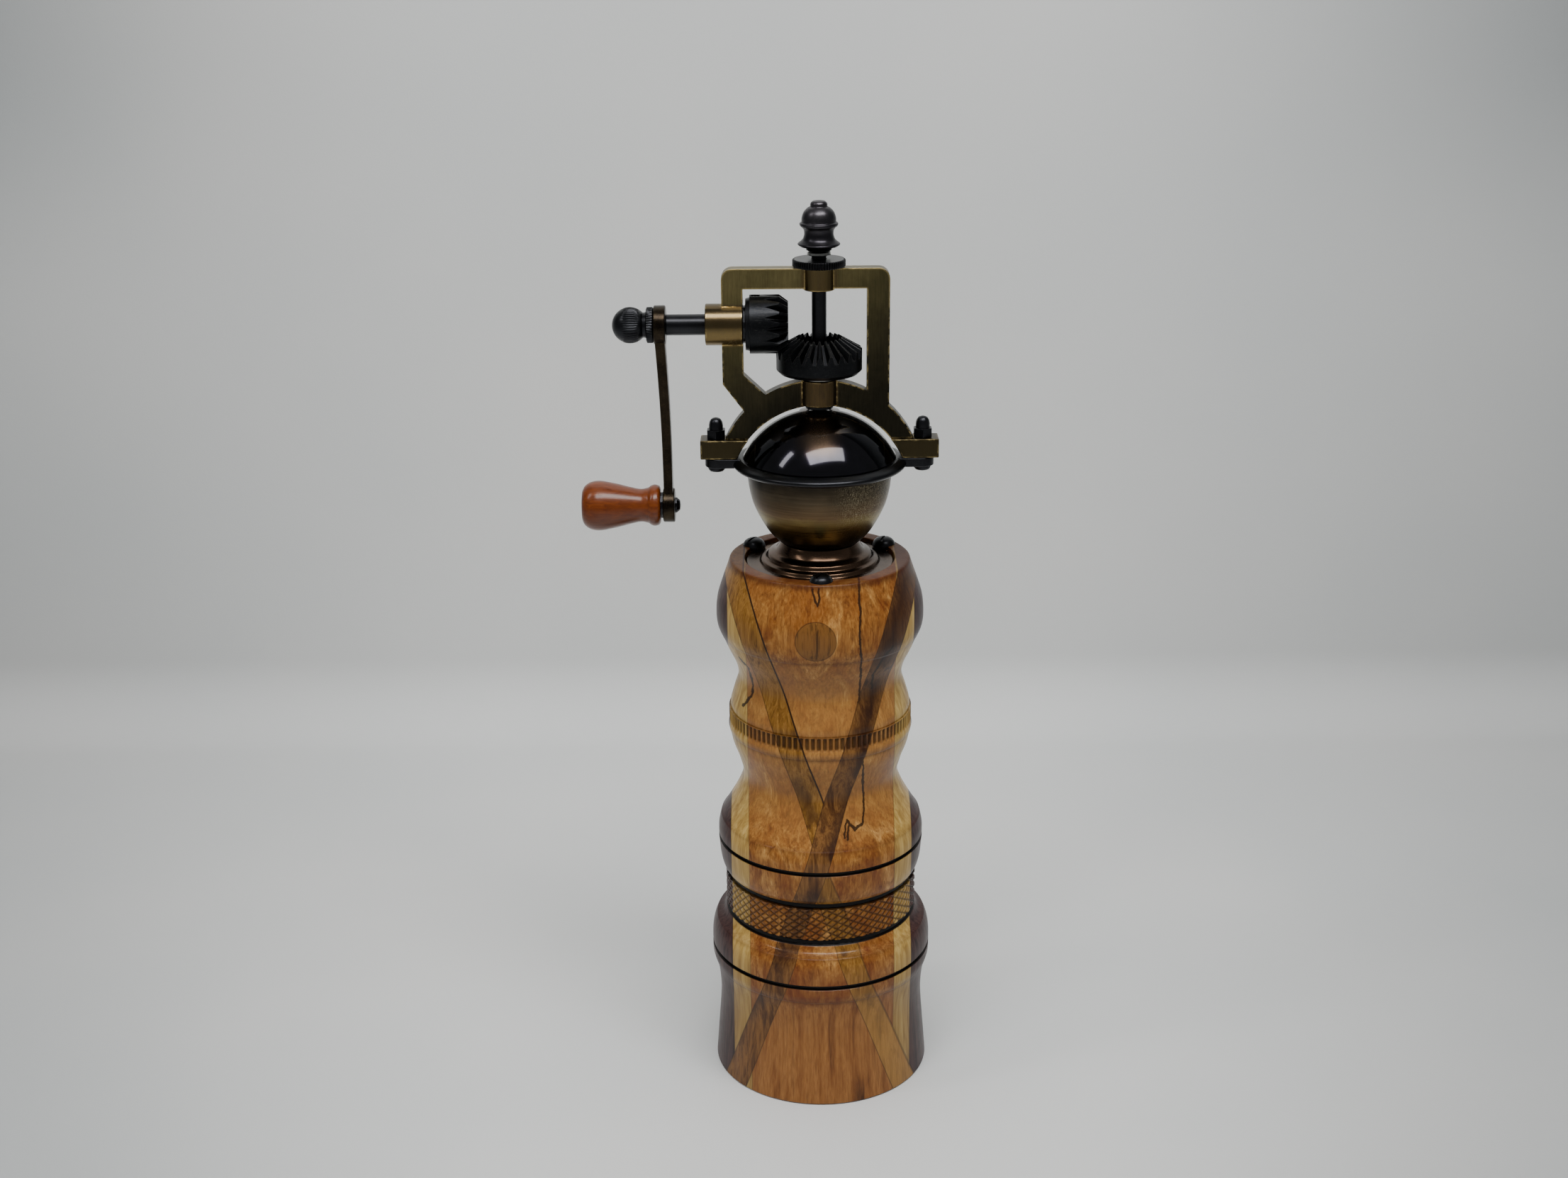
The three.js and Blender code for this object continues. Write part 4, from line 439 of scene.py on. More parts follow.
def laminated_wood():
    f = Finish("laminated_wood", Coat_Roughness=0.09, Coat_IOR=1.4, Specular_IOR_Level=0.12)
    place = f.place(origin=MILL_AXIS)
    x, y, z = f.split(place)
    wobble = f.node("ShaderNodeTexNoise", {}, {"Vector": place, "Scale": 0.5, "Detail": 3}, 1)
    sway = f.node("ShaderNodeVectorMath", {"operation": "MULTIPLY_ADD"}, {
        0: wobble, 1: (1.3, 0, 1.3), 2: (-0.65, 0, -0.65)})
    flat = f.node("ShaderNodeVectorMath", {"operation": "MULTIPLY_ADD"}, {0: place, 1: (1, 0, 1), 2: sway})
    maple, pale, dark = body_boards(f, z)
    olive = walnut(f, -LEAN, shade(92, 60, 20), shade(126, 88, 34), shade(146, 106, 50))
    olive = f.mix(z.step(60, 20) * 0.6, olive, f.mix(0.5, olive, shade(170, 128, 70)))
    brown = walnut(f, LEAN, shade(66, 40, 20), shade(96, 64, 32), shade(126, 88, 46))
    brown = f.mix(z.step(140, 166) * 0.55, brown, shade(52, 30, 18))
    smoke = distance_to(f, flat, SMOKE_LINES)
    swirl = f.noise(f.place((1, 1, 0.5), (0, LEAN, 0), MILL_AXIS), 0.2, 3, 0.6, 1.0)
    smoke = (smoke + swirl * 5).step(7.5, 2.2)
    brown = f.mix(smoke * 0.8, brown, shade(40, 22, 16))
    olive = f.mix(smoke * 0.7, olive, shade(58, 36, 18))
    # the first strip was sawn through when the second was glued in, which moved its lower half
    moved_on = (x - (z * 0.3195 - 30.8)).step(-0.05, 0.05)
    edge = abs(x)
    first_left, first_right = (
        away_from(x, z, edge_line) + moved_on * (z * more + shift)
        for edge_line, (shift, more) in zip(FIRST_STRIP, FIRST_SHIFT))
    first = between(first_left, first_right)
    second_left, second_right = (away_from(x, z, edge_line) for edge_line in SECOND_STRIP)
    second = between(second_left, second_right)
    colour = f.mix(edge.step(PALE_AT - 0.05, PALE_AT + 0.05), maple, pale)
    colour = f.mix(edge.step(DARK_AT - 0.05, DARK_AT + 0.05), colour, dark)
    colour = f.mix(first, colour, olive)
    colour = f.mix(second, colour, brown)

    def glue(away, width, strength):
        return away.step(width + 0.12, width - 0.1) * strength

    joints = glue(abs(edge - PALE_AT), GLUE, 0.3)
    joints = joints.most(glue(abs(edge - DARK_AT), GLUE, 0.4)) * (1 - first)
    joints = joints.most(glue(abs(first_left), GLUE, 0.55)).most(
        glue(abs(first_right), 0.3, z.step(95, 115) * 0.45 + 0.5))
    joints = (joints * (1 - second)).most(glue(abs(second_left), GLUE, 0.55))
    joints = joints.most(glue(abs(second_right), GLUE, 0.5))
    # a round plug of straight-grained walnut closes a screw hole in front and behind
    across, up = x - PLUG_X, z - PLUG_Z
    plug = (across * across + up * up).root()
    plug_wood = wood_grain(f, [shade(66, 42, 18), shade(114, 76, 34), shade(92, 58, 26)],
                           (1, 1, 0.03), 0.9)
    colour = f.mix(plug.step(PLUG_RADIUS + 0.05, PLUG_RADIUS - 0.1), colour, plug_wood)
    plug_line = abs(plug - PLUG_RADIUS).step(0.25, 0.1) * 0.5
    joints = (joints * plug.step(PLUG_RADIUS - 0.3, PLUG_RADIUS)).most(plug_line)
    spalt = distance_to(f, flat, SPALT_LINES).step(0.5, 0.24)
    spalt = spalt * (1 - second * (1 - z.step(144, 150))) * y.step(4, -4)
    colour = f.mix(joints.most(spalt * 0.9), colour, shade(30, 18, 10))
    grooves = functools.reduce(Value.most, (
        abs(z - centre).step(half + 0.25, half - 0.05) for centre, half in BURNT_GROOVES))
    # the rim's rounded edge is darker; a painted shadow line lies under the lip above the flutes and painted
    # shade darkens the creases
    dark_rim_and_painted_shade = z.step(BODY_TOP - 2.8, BODY_TOP - 0.4) * 0.7
    dark_rim_and_painted_shade = dark_rim_and_painted_shade.most(abs(z - FLUTE_NOTCH).step(0.6, 0.1) * 0.3)
    for centre in CREASES:
        dark_rim_and_painted_shade = dark_rim_and_painted_shade.most(abs(z - centre).step(1.6, 0.0) * 0.3)
    colour = f.mix(dark_rim_and_painted_shade, colour, shade(52, 20, 10))
    radius = (x * x + y * y).root()
    pressed = z.step(GROOVE_LOW + 0.9, GROOVE_LOW + 1.3) * z.step(GROOVE_HIGH - 1.0, GROOVE_HIGH - 1.4)
    fluted = z.step(FLUTE_BOTTOM - 0.2, FLUTE_BOTTOM + 0.4) * z.step(FLUTE_NOTCH - 0.04, FLUTE_NOTCH - 0.2)
    pit = radius.step(KNURL_RADIUS - 0.08, KNURL_RADIUS - 0.5) * pressed
    pit = pit.most(radius.step(FLUTE_RADIUS - 0.1, FLUTE_RADIUS - 0.6) * fluted)
    # the knurled band and the flutes are darker overall, and their pits get painted shade
    colour = f.mix(pressed.most(fluted) * 0.22, colour, shade(70, 36, 14))
    colour = f.mix(pit * 0.7, colour, shade(34, 18, 7))
    colour = f.mix(grooves, colour, shade(10, 8, 7))
    glaze = f.noise(place, 0.25, 2)
    rough = (1 - grooves) * 0.1 + 0.3 + (glaze - 0.5) * 0.12
    height = f.noise(f.place((1, 1, 0.06), origin=MILL_AXIS), 1.6, 3)
    dull = z.step(BODY_TOP - 1, BODY_TOP - 0.2).most(edge.step(DARK_AT - 1, DARK_AT + 1)) * 0.6
    clear = (1 - grooves) * (1 - pit * 0.8) * (1 - dull) * 0.32
    return f.wear(colour, rough, f.bump(height, 0.02), Coat_Weight=clear)


# %% [markdown]
# ## Turned shapes
# A lathe makes most of this mill, and a spin does the same in Blender: draw half the outline and
# sweep it round the axis. Chosen points joined by a flowing curve give the soft beads
# and coves; a point repeated in two curves leaves a crisp line between them, as the tool does.

# %% Helpers for outlines and spinning


def flowing(points, steps=6):
    """A curve through every point: each stretch is a Bezier whose handles follow its neighbours."""
    knots = [Vector((r, z, 0)) for r, z in points]
    spots = []
    for i in range(len(knots) - 1):
        before, after = knots[max(i - 1, 0)], knots[min(i + 2, len(knots) - 1)]
        leave = knots[i] + (knots[i + 1] - before) / 6
        arrive = knots[i + 1] - (after - knots[i]) / 6
        spots += interpolate_bezier(knots[i], leave, arrive, knots[i + 1], steps + 1)[:-1]
    spots.append(knots[-1])
    return [(p.x, p.y) for p in spots]


def spun(outline, facets=96, closed=False):
    """An outline of [radius, height] in millimetres, swept once round the upright axis."""
    shape = bmesh.new()
    points = [shape.verts.new((r * MM, 0, z * MM)) for r, z in outline]
    edges = [shape.edges.new(pair) for pair in zip(points, points[1:])]
    if closed:
        edges.append(shape.edges.new((points[-1], points[0])))
    bmesh.ops.spin(
        shape, geom=points + edges, cent=(0, 0, 0), axis=(0, 0, 1), dvec=(0, 0, 0),
        angle=TURN, steps=facets, use_merge=True, use_normal_flip=False, use_duplicate=False)
    bmesh.ops.remove_doubles(shape, verts=shape.verts, dist=1e-6)
    bmesh.ops.recalc_face_normals(shape, faces=shape.faces)
    return shape


def soften(shape, width, limit=40, segments=2):
    """Rounds every edge that is sharper than a limit."""
    sharp = [e for e in shape.edges if e.is_manifold and e.calc_face_angle() > math.radians(limit)]
    bmesh.ops.bevel(
        shape, geom=sharp, offset=width * MM, offset_type="OFFSET", affect="EDGES",
        segments=segments, profile=0.5, material=-1, clamp_overlap=True)
    return shape


def moved(shape, place, turn=None):
    """Turns a shape about its own origin and then carries it to a place in millimetres."""
    if turn is not None:
        bmesh.ops.transform(shape, matrix=turn.to_4x4(), verts=shape.verts)
    bmesh.ops.translate(shape, verts=shape.verts, vec=Vector(place) * MM)
    return shape


def make_piece(name, shape, body, finish, nodes, smooth=38):
    """Turns a bmesh into a piece that rides on a body and stands for some CAD nodes."""
    mesh = bpy.data.meshes.new(name)
    shape.to_mesh(mesh)
    shape.free()
    mesh.shade_smooth()
    mesh.set_sharp_from_angle(angle=math.radians(smooth))
    mesh.materials.append(finish)
    piece = bpy.data.objects.new(name, mesh)
    bpy.context.scene.collection.objects.link(piece)
    even = piece.modifiers.new("even_shading", "WEIGHTED_NORMAL")
    even.keep_sharp = True
    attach(piece, body)
    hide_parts(*nodes)
    print(f"{name}: {len(mesh.polygons)} faces")
    return piece


# %% [markdown]
# ## The turned body
# From the foot up: a coved skirt, a bead with a burnt groove, a knurled band between two wide
# grooves, another bead, the waist, a fluted ring, a hollow for the fingers and the top bead.

# %% Turn the body
KNURL_RADIUS = 33.4
FLUTE_RADIUS = 31.3
FLUTE_NOTCH, FLUTE_BOTTOM, BED_RADIUS = 136.7, 131.6, 30.2
GROOVE_SKIRT, GROOVE_LOW, GROOVE_HIGH, GROOVE_BEAD = 46.7, 61.3, 75.2, 88.5
CREASES = [40.4, 57.0, 96.3, 128.5, 163.7]
BURNT_GROOVES = [(GROOVE_SKIRT, 0.7), (GROOVE_LOW, 1.05), (GROOVE_HIGH, 1.05), (GROOVE_BEAD, 0.7)]


def groove(radius, centre, half):
    """A burnt groove with slightly rounded lips."""
    return [
        (radius, centre - half - 0.2), (radius - 0.25, centre - half), (radius - 0.9, centre - half * 0.6),
        (radius - 0.9, centre + half * 0.6), (radius - 0.25, centre + half), (radius, centre + half + 0.2)]


def body_outline():
    top = BODY_TOP
    foot = flowing([(37.9, 0.5), (36.9, 13), (36.0, 25), (36.1, 31), (36.7, 36.5), (37.6, 40.4)])
    skirt_bead = flowing([(37.8, 40.5), (38.5, 43.0), (38.6, GROOVE_SKIRT - 0.9)])
    shoulder = flowing([(38.6, GROOVE_SKIRT + 0.9), (38.5, 51), (37.9, 54.4), (36.9, 56.9)])
    collar = flowing([(36.7, 57.0), (34.6, 58.2), (KNURL_RADIUS, GROOVE_LOW - 1.25)])
    bead = flowing([(KNURL_RADIUS, GROOVE_HIGH + 1.25), (34.4, 78.4), (35.2, 82),
                    (35.7, GROOVE_BEAD - 0.9)])
    cap = flowing([(35.7, GROOVE_BEAD + 0.9), (35.6, 92.4), (34.7, 96.2)])
    waist = flowing([(34.5, 96.3), (31.6, 101), (28.6, 106.6), (26.8, 112.3), (28.0, 118.2),
                     (30.2, 124.4), (31.0, 128.4)])
    ring = flowing([(31.2, 128.5), (31.55, 130.2), (FLUTE_RADIUS, FLUTE_BOTTOM)], 3)
    bed = [(BED_RADIUS, FLUTE_BOTTOM + 0.1), (BED_RADIUS, FLUTE_NOTCH - 0.3)]
    grip = flowing([(30.7, FLUTE_NOTCH), (30.6, 139), (29.4, 143.2), (27.9, 148.6), (28.8, 153.6),
                    (31.2, 158.8), (33.2, 163.6)])
    upper = flowing([(33.4, 163.7), (34.7, 167), (35.1, 171), (34.6, 176.5), (33.0, 181.8),
                     (31.4, top - 3.6), (30.6, top - 1.2)])
    rim = [(30.35, top - 0.4), (29.9, top - 0.06), (29.2, top), (25.5, top), (25.1, top - 0.4),
           (25.1, top - 3.0), (13.5, top - 3.0), (13.5, 16), (22.25, 16), (22.25, 0.4),
           (22.8, 0), (37.2, 0)]
    band = [(32.0, GROOVE_LOW + 0.8), (32.0, GROOVE_HIGH - 0.8)]
    return (foot + skirt_bead + groove(38.6, GROOVE_SKIRT, 0.7) + shoulder + collar
            + groove(KNURL_RADIUS, GROOVE_LOW, 1.05)[:4] + band
            + groove(KNURL_RADIUS, GROOVE_HIGH, 1.05)[2:] + bead
            + groove(35.7, GROOVE_BEAD, 0.7) + cap + waist + ring + bed + grip + upper + rim)


WOOD = laminated_wood()
body = moved(spun(body_outline(), 128, closed=True), MILL_AXIS)
make_piece("turned_body", body, "mill_body", WOOD, ["wood_body"], 50)

# %% [markdown]
# ## Knurling and fluting
# A knurling wheel presses crossed lines into the wood, which leaves rows of little pyramids. A
# bump would flatten at the outline, so the band is real: a fine grid is spun, and a formula says how
# far each vertex is pressed in. The flutes below the finger hollow are made the same way.

# %% Press the knurled band and the flutes


def pressed_band(radius, inner, bottom, top, rows, columns, depth_at):
    """A closed ring whose outer wall is pushed in by depth_at(column, row)."""
    wall = [(radius, bottom + (top - bottom) * i / rows) for i in range(rows + 1)]
    band = spun([(inner, bottom), *wall, (inner, top)], columns, closed=True)
    for v in band.verts:
        reach = math.hypot(v.co.x, v.co.y)
        if reach / MM > inner + 0.1:
            column = math.atan2(v.co.y, v.co.x) / TURN * columns
            row = (v.co.z / MM - bottom) / (top - bottom) * rows
            shrink = (radius - depth_at(column, row, rows)) / radius
            v.co.x, v.co.y = v.co.x * shrink, v.co.y * shrink
    return band


KNURL_COLUMNS, KNURL_ROWS = 828, 46
FALLING_LINES, RISING_LINES = 42, 69
KNURL_PITCH = {"falling": 2.7, "rising": 2.65}
FLUTES, FLUTE_COLUMNS = 98, 8


def diamond_depth(column, row, rows):
    """Two sets of slanting V cuts; the wheel was held a little askew, so their slants differ."""
    around = column / KNURL_COLUMNS
    height = row / rows * (GROOVE_HIGH - GROOVE_LOW - 2.2)
    cuts = []
    for lines, climb in ((FALLING_LINES, KNURL_PITCH["falling"]), (RISING_LINES, -KNURL_PITCH["rising"])):
        phase = around * lines + height / climb
        per_mm = math.hypot(lines / (TURN * KNURL_RADIUS), 1 / climb)
        away = abs((phase + 0.5) % 1 - 0.5) / per_mm
        cuts.append(max(0, 1 - away / 0.62))
    return 0.5 * max(cuts)


def flute_depth(column, row, rows):
    wave = 0.5 + 0.5 * math.cos(column / FLUTE_COLUMNS * TURN)
    fade = min(1, row / 2.0, (rows - row) / 1.0)
    return 0.75 * (1 - (1 - wave) ** 1.6) * fade


knurl = pressed_band(KNURL_RADIUS, 31.5, GROOVE_LOW + 1.1, GROOVE_HIGH - 1.1, KNURL_ROWS,
                     KNURL_COLUMNS, diamond_depth)
make_piece("knurled_band", moved(knurl, MILL_AXIS), "mill_body", WOOD,
           ["wood_body"], 60)
flutes = pressed_band(FLUTE_RADIUS, BED_RADIUS - 0.3, FLUTE_BOTTOM, FLUTE_NOTCH - 0.1, 10,
                      FLUTES * FLUTE_COLUMNS, flute_depth)
make_piece("fluted_ring", moved(flutes, MILL_AXIS), "mill_body", WOOD,
           ["wood_body"], 60)

# %% [markdown]
# ## Metal finishes
# The mechanism is plated zinc and steel with an aged finish: dark in the hollows and rubbed
# back to brass on the edges. One recipe serves most of them: cloudy colour, fine brushing, a
# roughness that follows both, and a brighter colour where edges are worn. The bridge and the bowl
# carry painted light and shade from one end to the other, and the dome a painted bronze sheen,
# so each has a recipe of its own.

# %% Make the metals


def aged_metal(name, dark, mid, worn, rough, edge=0.0, edge_radius=0.35, brushed=(1, 1, 0.1),
               brushing=0.5, patch=0.05, glaze=0.0):
    """Cloudy dark-to-middle colour, brushing, and a brighter metal where edges are rubbed."""
    f = Finish(name, Metallic=1.0, Coat_Weight=glaze, Coat_Roughness=rough * 0.8)
    point = f.place()
    cloud = f.noise(point, patch, 3, 0.55, 0.3)
    colour = f.ramp(cloud, (0.34, dark), (0.66, mid))
    lines = f.noise(f.place(brushed), 3.0, 3, 0.7)
    colour = f.mix(brushing * 0.6, colour, f.ramp(lines, (0.3, shade(140, 140, 140)),
                                                  (0.7, shade(255, 255, 255))), "MULTIPLY")
    rub = f.noise(point, 0.4, 3, 0.7)
    if edge:
        rubbed = f.worn_edges(edge_radius).step(0.05, 0.28) * rub.step(0.36, 0.62)
        colour = f.mix(rubbed * edge, colour, worn)
    scratch = f.noise(f.place((0.25, 1, 1.6), (0.3, 0.5, 0.2)), 0.9, 2, 0.8, 1.5)
    scuff = abs(scratch - 0.5).step(0.008, 0.002)
    colour = f.mix(scuff * 0.12, colour, worn)
    gloss = rough + (cloud - 0.5) * 0.12 + (lines - 0.5) * 0.1 + scuff * 0.08
    return f.wear(colour, gloss, f.bump(lines * 0.35 + rub * 0.4, 0.012))


def bridge_brass():
    """Painted light and shade: lighter on the top bar, browner down the right column and nearly black on the
    arch.
    """
    f = Finish("antique_brass", Metallic=1.0)
    x, y, z = f.split(f.place(origin=MILL_AXIS))
    cloud = f.noise(f.place(), 0.06, 4, 0.6, 0.3)
    # painted light and shade: the colour grows lighter with height and darker to the right
    height = (z - 238) / 52 - x * 0.006 + (cloud - 0.5) * 0.7
    colour = f.ramp(height, (0.05, shade(46, 43, 34)), (0.4, shade(72, 66, 48)),
                    (0.75, shade(100, 92, 62)), (1.0, shade(134, 122, 82)))
    lines = f.noise(f.place((1, 1, 0.06)), 3.0, 3, 0.7)
    colour = f.mix(0.4, colour, f.ramp(lines, (0.3, shade(140, 140, 140)),
                                       (0.7, shade(255, 255, 255))), "MULTIPLY")
    foot = z.step(232.2, 231.0) * 0.2
    colour = f.mix(foot, colour, shade(112, 96, 62))
    shiny = abs(x).step(6.6, 5.2).most(x.step(-24.2, -24.8) * abs(z - CRANK_Z).step(7.2, 6.4))
    # the bosses are a lighter brass; painted light and shade makes the side boss darker above its axis and
    # lighter gold below
    boss = f.ramp(lines + (z - CRANK_Z) * 0.05 * x.step(-10, -24), (0.2, shade(122, 100, 62)),
                  (0.75, shade(86, 70, 54)))
    colour = f.mix(shiny * 0.65, colour, boss)
    rub = f.noise(f.place(), 0.35, 3, 0.7)
    rubbed = f.worn_edges(1.1).step(0.03, 0.12) * (rub + z.step(270, 288) * 0.15).step(0.42, 0.62)
    colour = f.mix(rubbed * 0.95, colour, shade(240, 212, 146))
    gloss = 0.34 - shiny * 0.1 - rubbed * 0.1 + (cloud - 0.5) * 0.14 + (lines - 0.5) * 0.1
    return f.wear(colour, gloss, f.bump(lines * 0.4 + rub * 0.4, 0.014))


BRASS = bridge_brass()
ARM_BRASS = aged_metal("arm_brass", shade(40, 34, 28), shade(64, 55, 43), shade(190, 164, 112), 0.3,
                       edge=0.9, brushing=0.7, patch=0.15)
BRONZE = aged_metal("bronze_flange", shade(72, 56, 44), shade(108, 84, 66), shade(150, 122, 98), 0.22,
                    edge=0.5, brushed=(1, 1, 1), brushing=0.3)
BLACK_STEEL = aged_metal("black_steel", shade(22, 22, 25), shade(40, 41, 45), shade(126, 124, 122),
                         0.36, edge=0.4, edge_radius=0.2, brushing=0.4, glaze=0.3)
GEAR_STEEL = aged_metal("gear_steel", shade(22, 23, 25), shade(38, 39, 42), shade(160, 156, 148),
                        0.4, edge=0.8, edge_radius=0.14, brushing=0.4, glaze=0.12)
BRIGHT_STEEL = aged_metal("bright_steel", shade(170, 170, 166), shade(208, 208, 202),
                          shade(232, 232, 226), 0.36, brushing=0.4)
BURR_STEEL = aged_metal("burr_steel", shade(70, 71, 74), shade(104, 105, 106), shade(170, 170, 168),
                        0.4, edge=0.5, edge_radius=0.2)


def black_nickel():
    """Polished and nearly black, with a painted bronze sheen brushed down the top of the dome."""
    f = Finish("black_nickel", Metallic=1.0, Coat_Weight=0.5, Coat_Roughness=0.05, Coat_IOR=1.5)
    x, y, z = f.split(f.place(origin=MILL_AXIS))
    hair = f.noise(f.place((1, 1, 0.04), origin=MILL_AXIS), 2.2, 3, 0.75)
    # painted sheen: a bronze streak down the middle of the dome's top, a little rougher there
    bronze_sheen = abs(x + 0.8).step(9.5, 1.5) * z.step(229, 236) * z.step(244, 241) * (hair * 0.7 + 0.55)
    cloud = f.noise(f.place(origin=MILL_AXIS), 0.1, 3)
    colour = f.ramp(cloud, (0.3, shade(20, 20, 24)), (0.7, shade(40, 38, 46)))
    colour = f.mix(bronze_sheen * 0.7, colour, shade(96, 76, 54))
    nick = f.noise(f.place((1, 0.3, 0.3), (0.2, 0.4, 0.9)), 1.6, 2, 0.8, 2).step(0.74, 0.78)
    colour = f.mix(nick * 0.3, colour, shade(150, 140, 120))
    rough = 0.12 + bronze_sheen * 0.16 + (hair - 0.5) * 0.04
    return f.wear(colour, rough, f.bump(hair, 0.004))


def bowl_brass():
    """Painted light and shade up its height: dark at the neck, greener gold and brightest low down, browner
    above and dark under the ring, with fine rings from the spinning lathe.
    """
    f = Finish("bowl_brass", Metallic=1.0)
    x, y, z = f.split(f.place(origin=MILL_AXIS))
    low, high = levels("bowl")
    rise = (z - (low + 8)) / (high - low - 8)
    cloud = f.noise(f.place((1, 1, 1.6), origin=MILL_AXIS), 0.09, 4, 0.6, 0.5)
    height = rise + (cloud - 0.5) * 0.22
    # painted light and shade: dark at the neck, a bright band low down, browner above and dark under the ring
    colour = f.ramp(height, (0.04, shade(26, 22, 20)), (0.16, shade(90, 80, 44)),
                    (0.42, shade(136, 120, 74)), (0.56, shade(102, 82, 60)), (0.78, shade(84, 73, 58)),
                    (0.97, shade(48, 43, 36)))
    rings = f.noise(f.place((0.02, 0.02, 1), origin=MILL_AXIS), 1.8, 3, 0.7)
    colour = f.mix(0.5, colour, f.ramp(rings, (0.3, shade(150, 145, 140)),
                                       (0.65, shade(255, 255, 255))), "MULTIPLY")
    scratch = f.noise(f.place((1.4, 1, 0.35), (0.1, 0.5, 0.4), MILL_AXIS), 0.9, 2, 0.8, 2.2)
    scuff = abs(scratch - 0.5).step(0.02, 0.004) * x.step(2, 12)
    colour = f.mix(scuff * 0.6, colour, shade(210, 195, 160))
    rough = 0.3 + (rings - 0.5) * 0.12 + (cloud - 0.5) * 0.1
    return f.wear(colour, rough, f.bump(rings, 0.012))


FINIAL_NICKEL = aged_metal("finial_nickel", shade(52, 50, 54), shade(82, 79, 82),
                           shade(150, 142, 140), 0.34, edge=0.5, edge_radius=0.3, brushing=0.2)
NICKEL = black_nickel()
BOWL_BRASS = bowl_brass()


def cherry_wood():
    f = Finish("knob_wood", Coat_Roughness=0.22, Specular_IOR_Level=0.25)
    origin = tuple(middle("crank_knob"))
    fibres = f.noise(f.place((0.07, 1, 1), origin=origin), 1.1, 4, 0.65, 0.6)
    colour = f.ramp(fibres, (0.3, shade(78, 32, 6)), (0.5, shade(92, 41, 8)), (0.7, shade(106, 50, 11)))
    pores = f.noise(f.place((0.12, 1, 1), origin=origin), 3.2, 2, 0.7).step(0.64, 0.72)
    colour = f.mix(pores * 0.4, colour, shade(60, 22, 6))
    rough = 0.3 + (fibres - 0.5) * 0.12
    return f.wear(colour, rough, f.bump(fibres - pores * 0.5, 0.03), Coat_Weight=0.35 - pores * 0.2)


CHERRY = cherry_wood()
print("finishes:", len(bpy.data.materials))

# %% [markdown]
# ## Joining and cutting
# The flange, the rim ring and the bridge are one piece of metal each, but easiest to think
# of as several simple blanks. A Boolean modifier melts blanks together or cuts a hole, and
# its result comes back as a bmesh, so the rest of the script doesn't notice.

# %% Helpers for joining and cutting


def as_object(shape, name):
    mesh = bpy.data.meshes.new(name)
    shape.to_mesh(mesh)
    shape.free()
    made = bpy.data.objects.new(name, mesh)
    bpy.context.scene.collection.objects.link(made)
    return made


def combined(blank, tools, operation="UNION"):
    """Joins tools to a blank one by one, or with DIFFERENCE cuts them from it."""
    for tool in tools:
        base, other = as_object(blank, "blank"), as_object(tool, "tool")
        work = base.modifiers.new("work", "BOOLEAN")
        work.operation, work.solver, work.object = operation, "EXACT", other
        blank = bmesh.new()
        blank.from_object(base, bpy.context.evaluated_depsgraph_get())
        for used in (base, other):
            bpy.data.objects.remove(used)
    return blank


def rod(radius, z0, z1, facets=48, place=(0, 0), edge=0.0):
    """An upright rod in millimetres, with its rims rounded if an edge is given."""
    shape = bmesh.new()
    bmesh.ops.create_cone(
        shape, cap_ends=True, segments=facets, radius1=radius * MM, radius2=radius * MM,
        depth=(z1 - z0) * MM)
    if edge:
        soften(shape, edge, 60, 3)
    return moved(shape, (place[0], place[1], (z0 + z1) / 2))


def box(x0, x1, y0, y1, z0, z1, edge=0.0):
    shape = bmesh.new()
    bmesh.ops.create_cube(shape, size=MM)
    bmesh.ops.scale(shape, verts=shape.verts, vec=(x1 - x0, y1 - y0, z1 - z0))
    if edge:
        soften(shape, edge, 60, 3)
    return moved(shape, ((x0 + x1) / 2, (y0 + y1) / 2, (z0 + z1) / 2))


SIDEWAYS = Matrix.Rotation(-math.pi / 2, 4, "Y")


def on_crank(shape):
    """Lays a shape made upright along the crank's axis, its top pointing out to the left."""
    return moved(shape, (AXIS_X, 0, CRANK_Z), SIDEWAYS)


# %% [markdown]
# ## Flange, bowl and rim ring
# The flange is a stepped bronze disc let into the body's top, with three lugs for its domed screws.
# The bowl sits on its neck, and the rim ring closes the bowl and carries two ears for the bridge.

# %% Make the flange, bowl and ring
plate_bottom = levels("mount_flange")[0]
neck_top = levels("mount_flange")[1]
plate_top = plate_bottom + 1.6
screw_places = [middle(f"flange_screw_{side}") for side in ("front", "right", "left")]


def flange():
    steps = [
        (11.05, plate_bottom), (24.7, plate_bottom), (24.7, plate_top - 0.25), (24.45, plate_top),
        (20.3, plate_top), (20.0, plate_top + 0.25), (19.8, plate_top + 0.9)]
    neck = flowing([
        (19.5, plate_top + 1.2), (18.0, plate_top + 1.6), (17.5, plate_top + 2.6), (17.1, plate_top + 3.1),
        (16.2, plate_top + 3.5), (14.9, plate_top + 4.1), (13.9, plate_top + 5.4),
        (13.3, neck_top - 0.5)], 4)
    disc = moved(spun(steps + neck + [(13.0, neck_top), (11.05, neck_top)], 96, closed=True), MILL_AXIS)
    lugs = [rod(4.0, plate_bottom, plate_top, 32, (p.x, p.y), 0.25) for p in screw_places]
    return combined(disc, lugs)


make_piece("stepped_flange", flange(), "mill_body", BRONZE, ["mount_flange"])


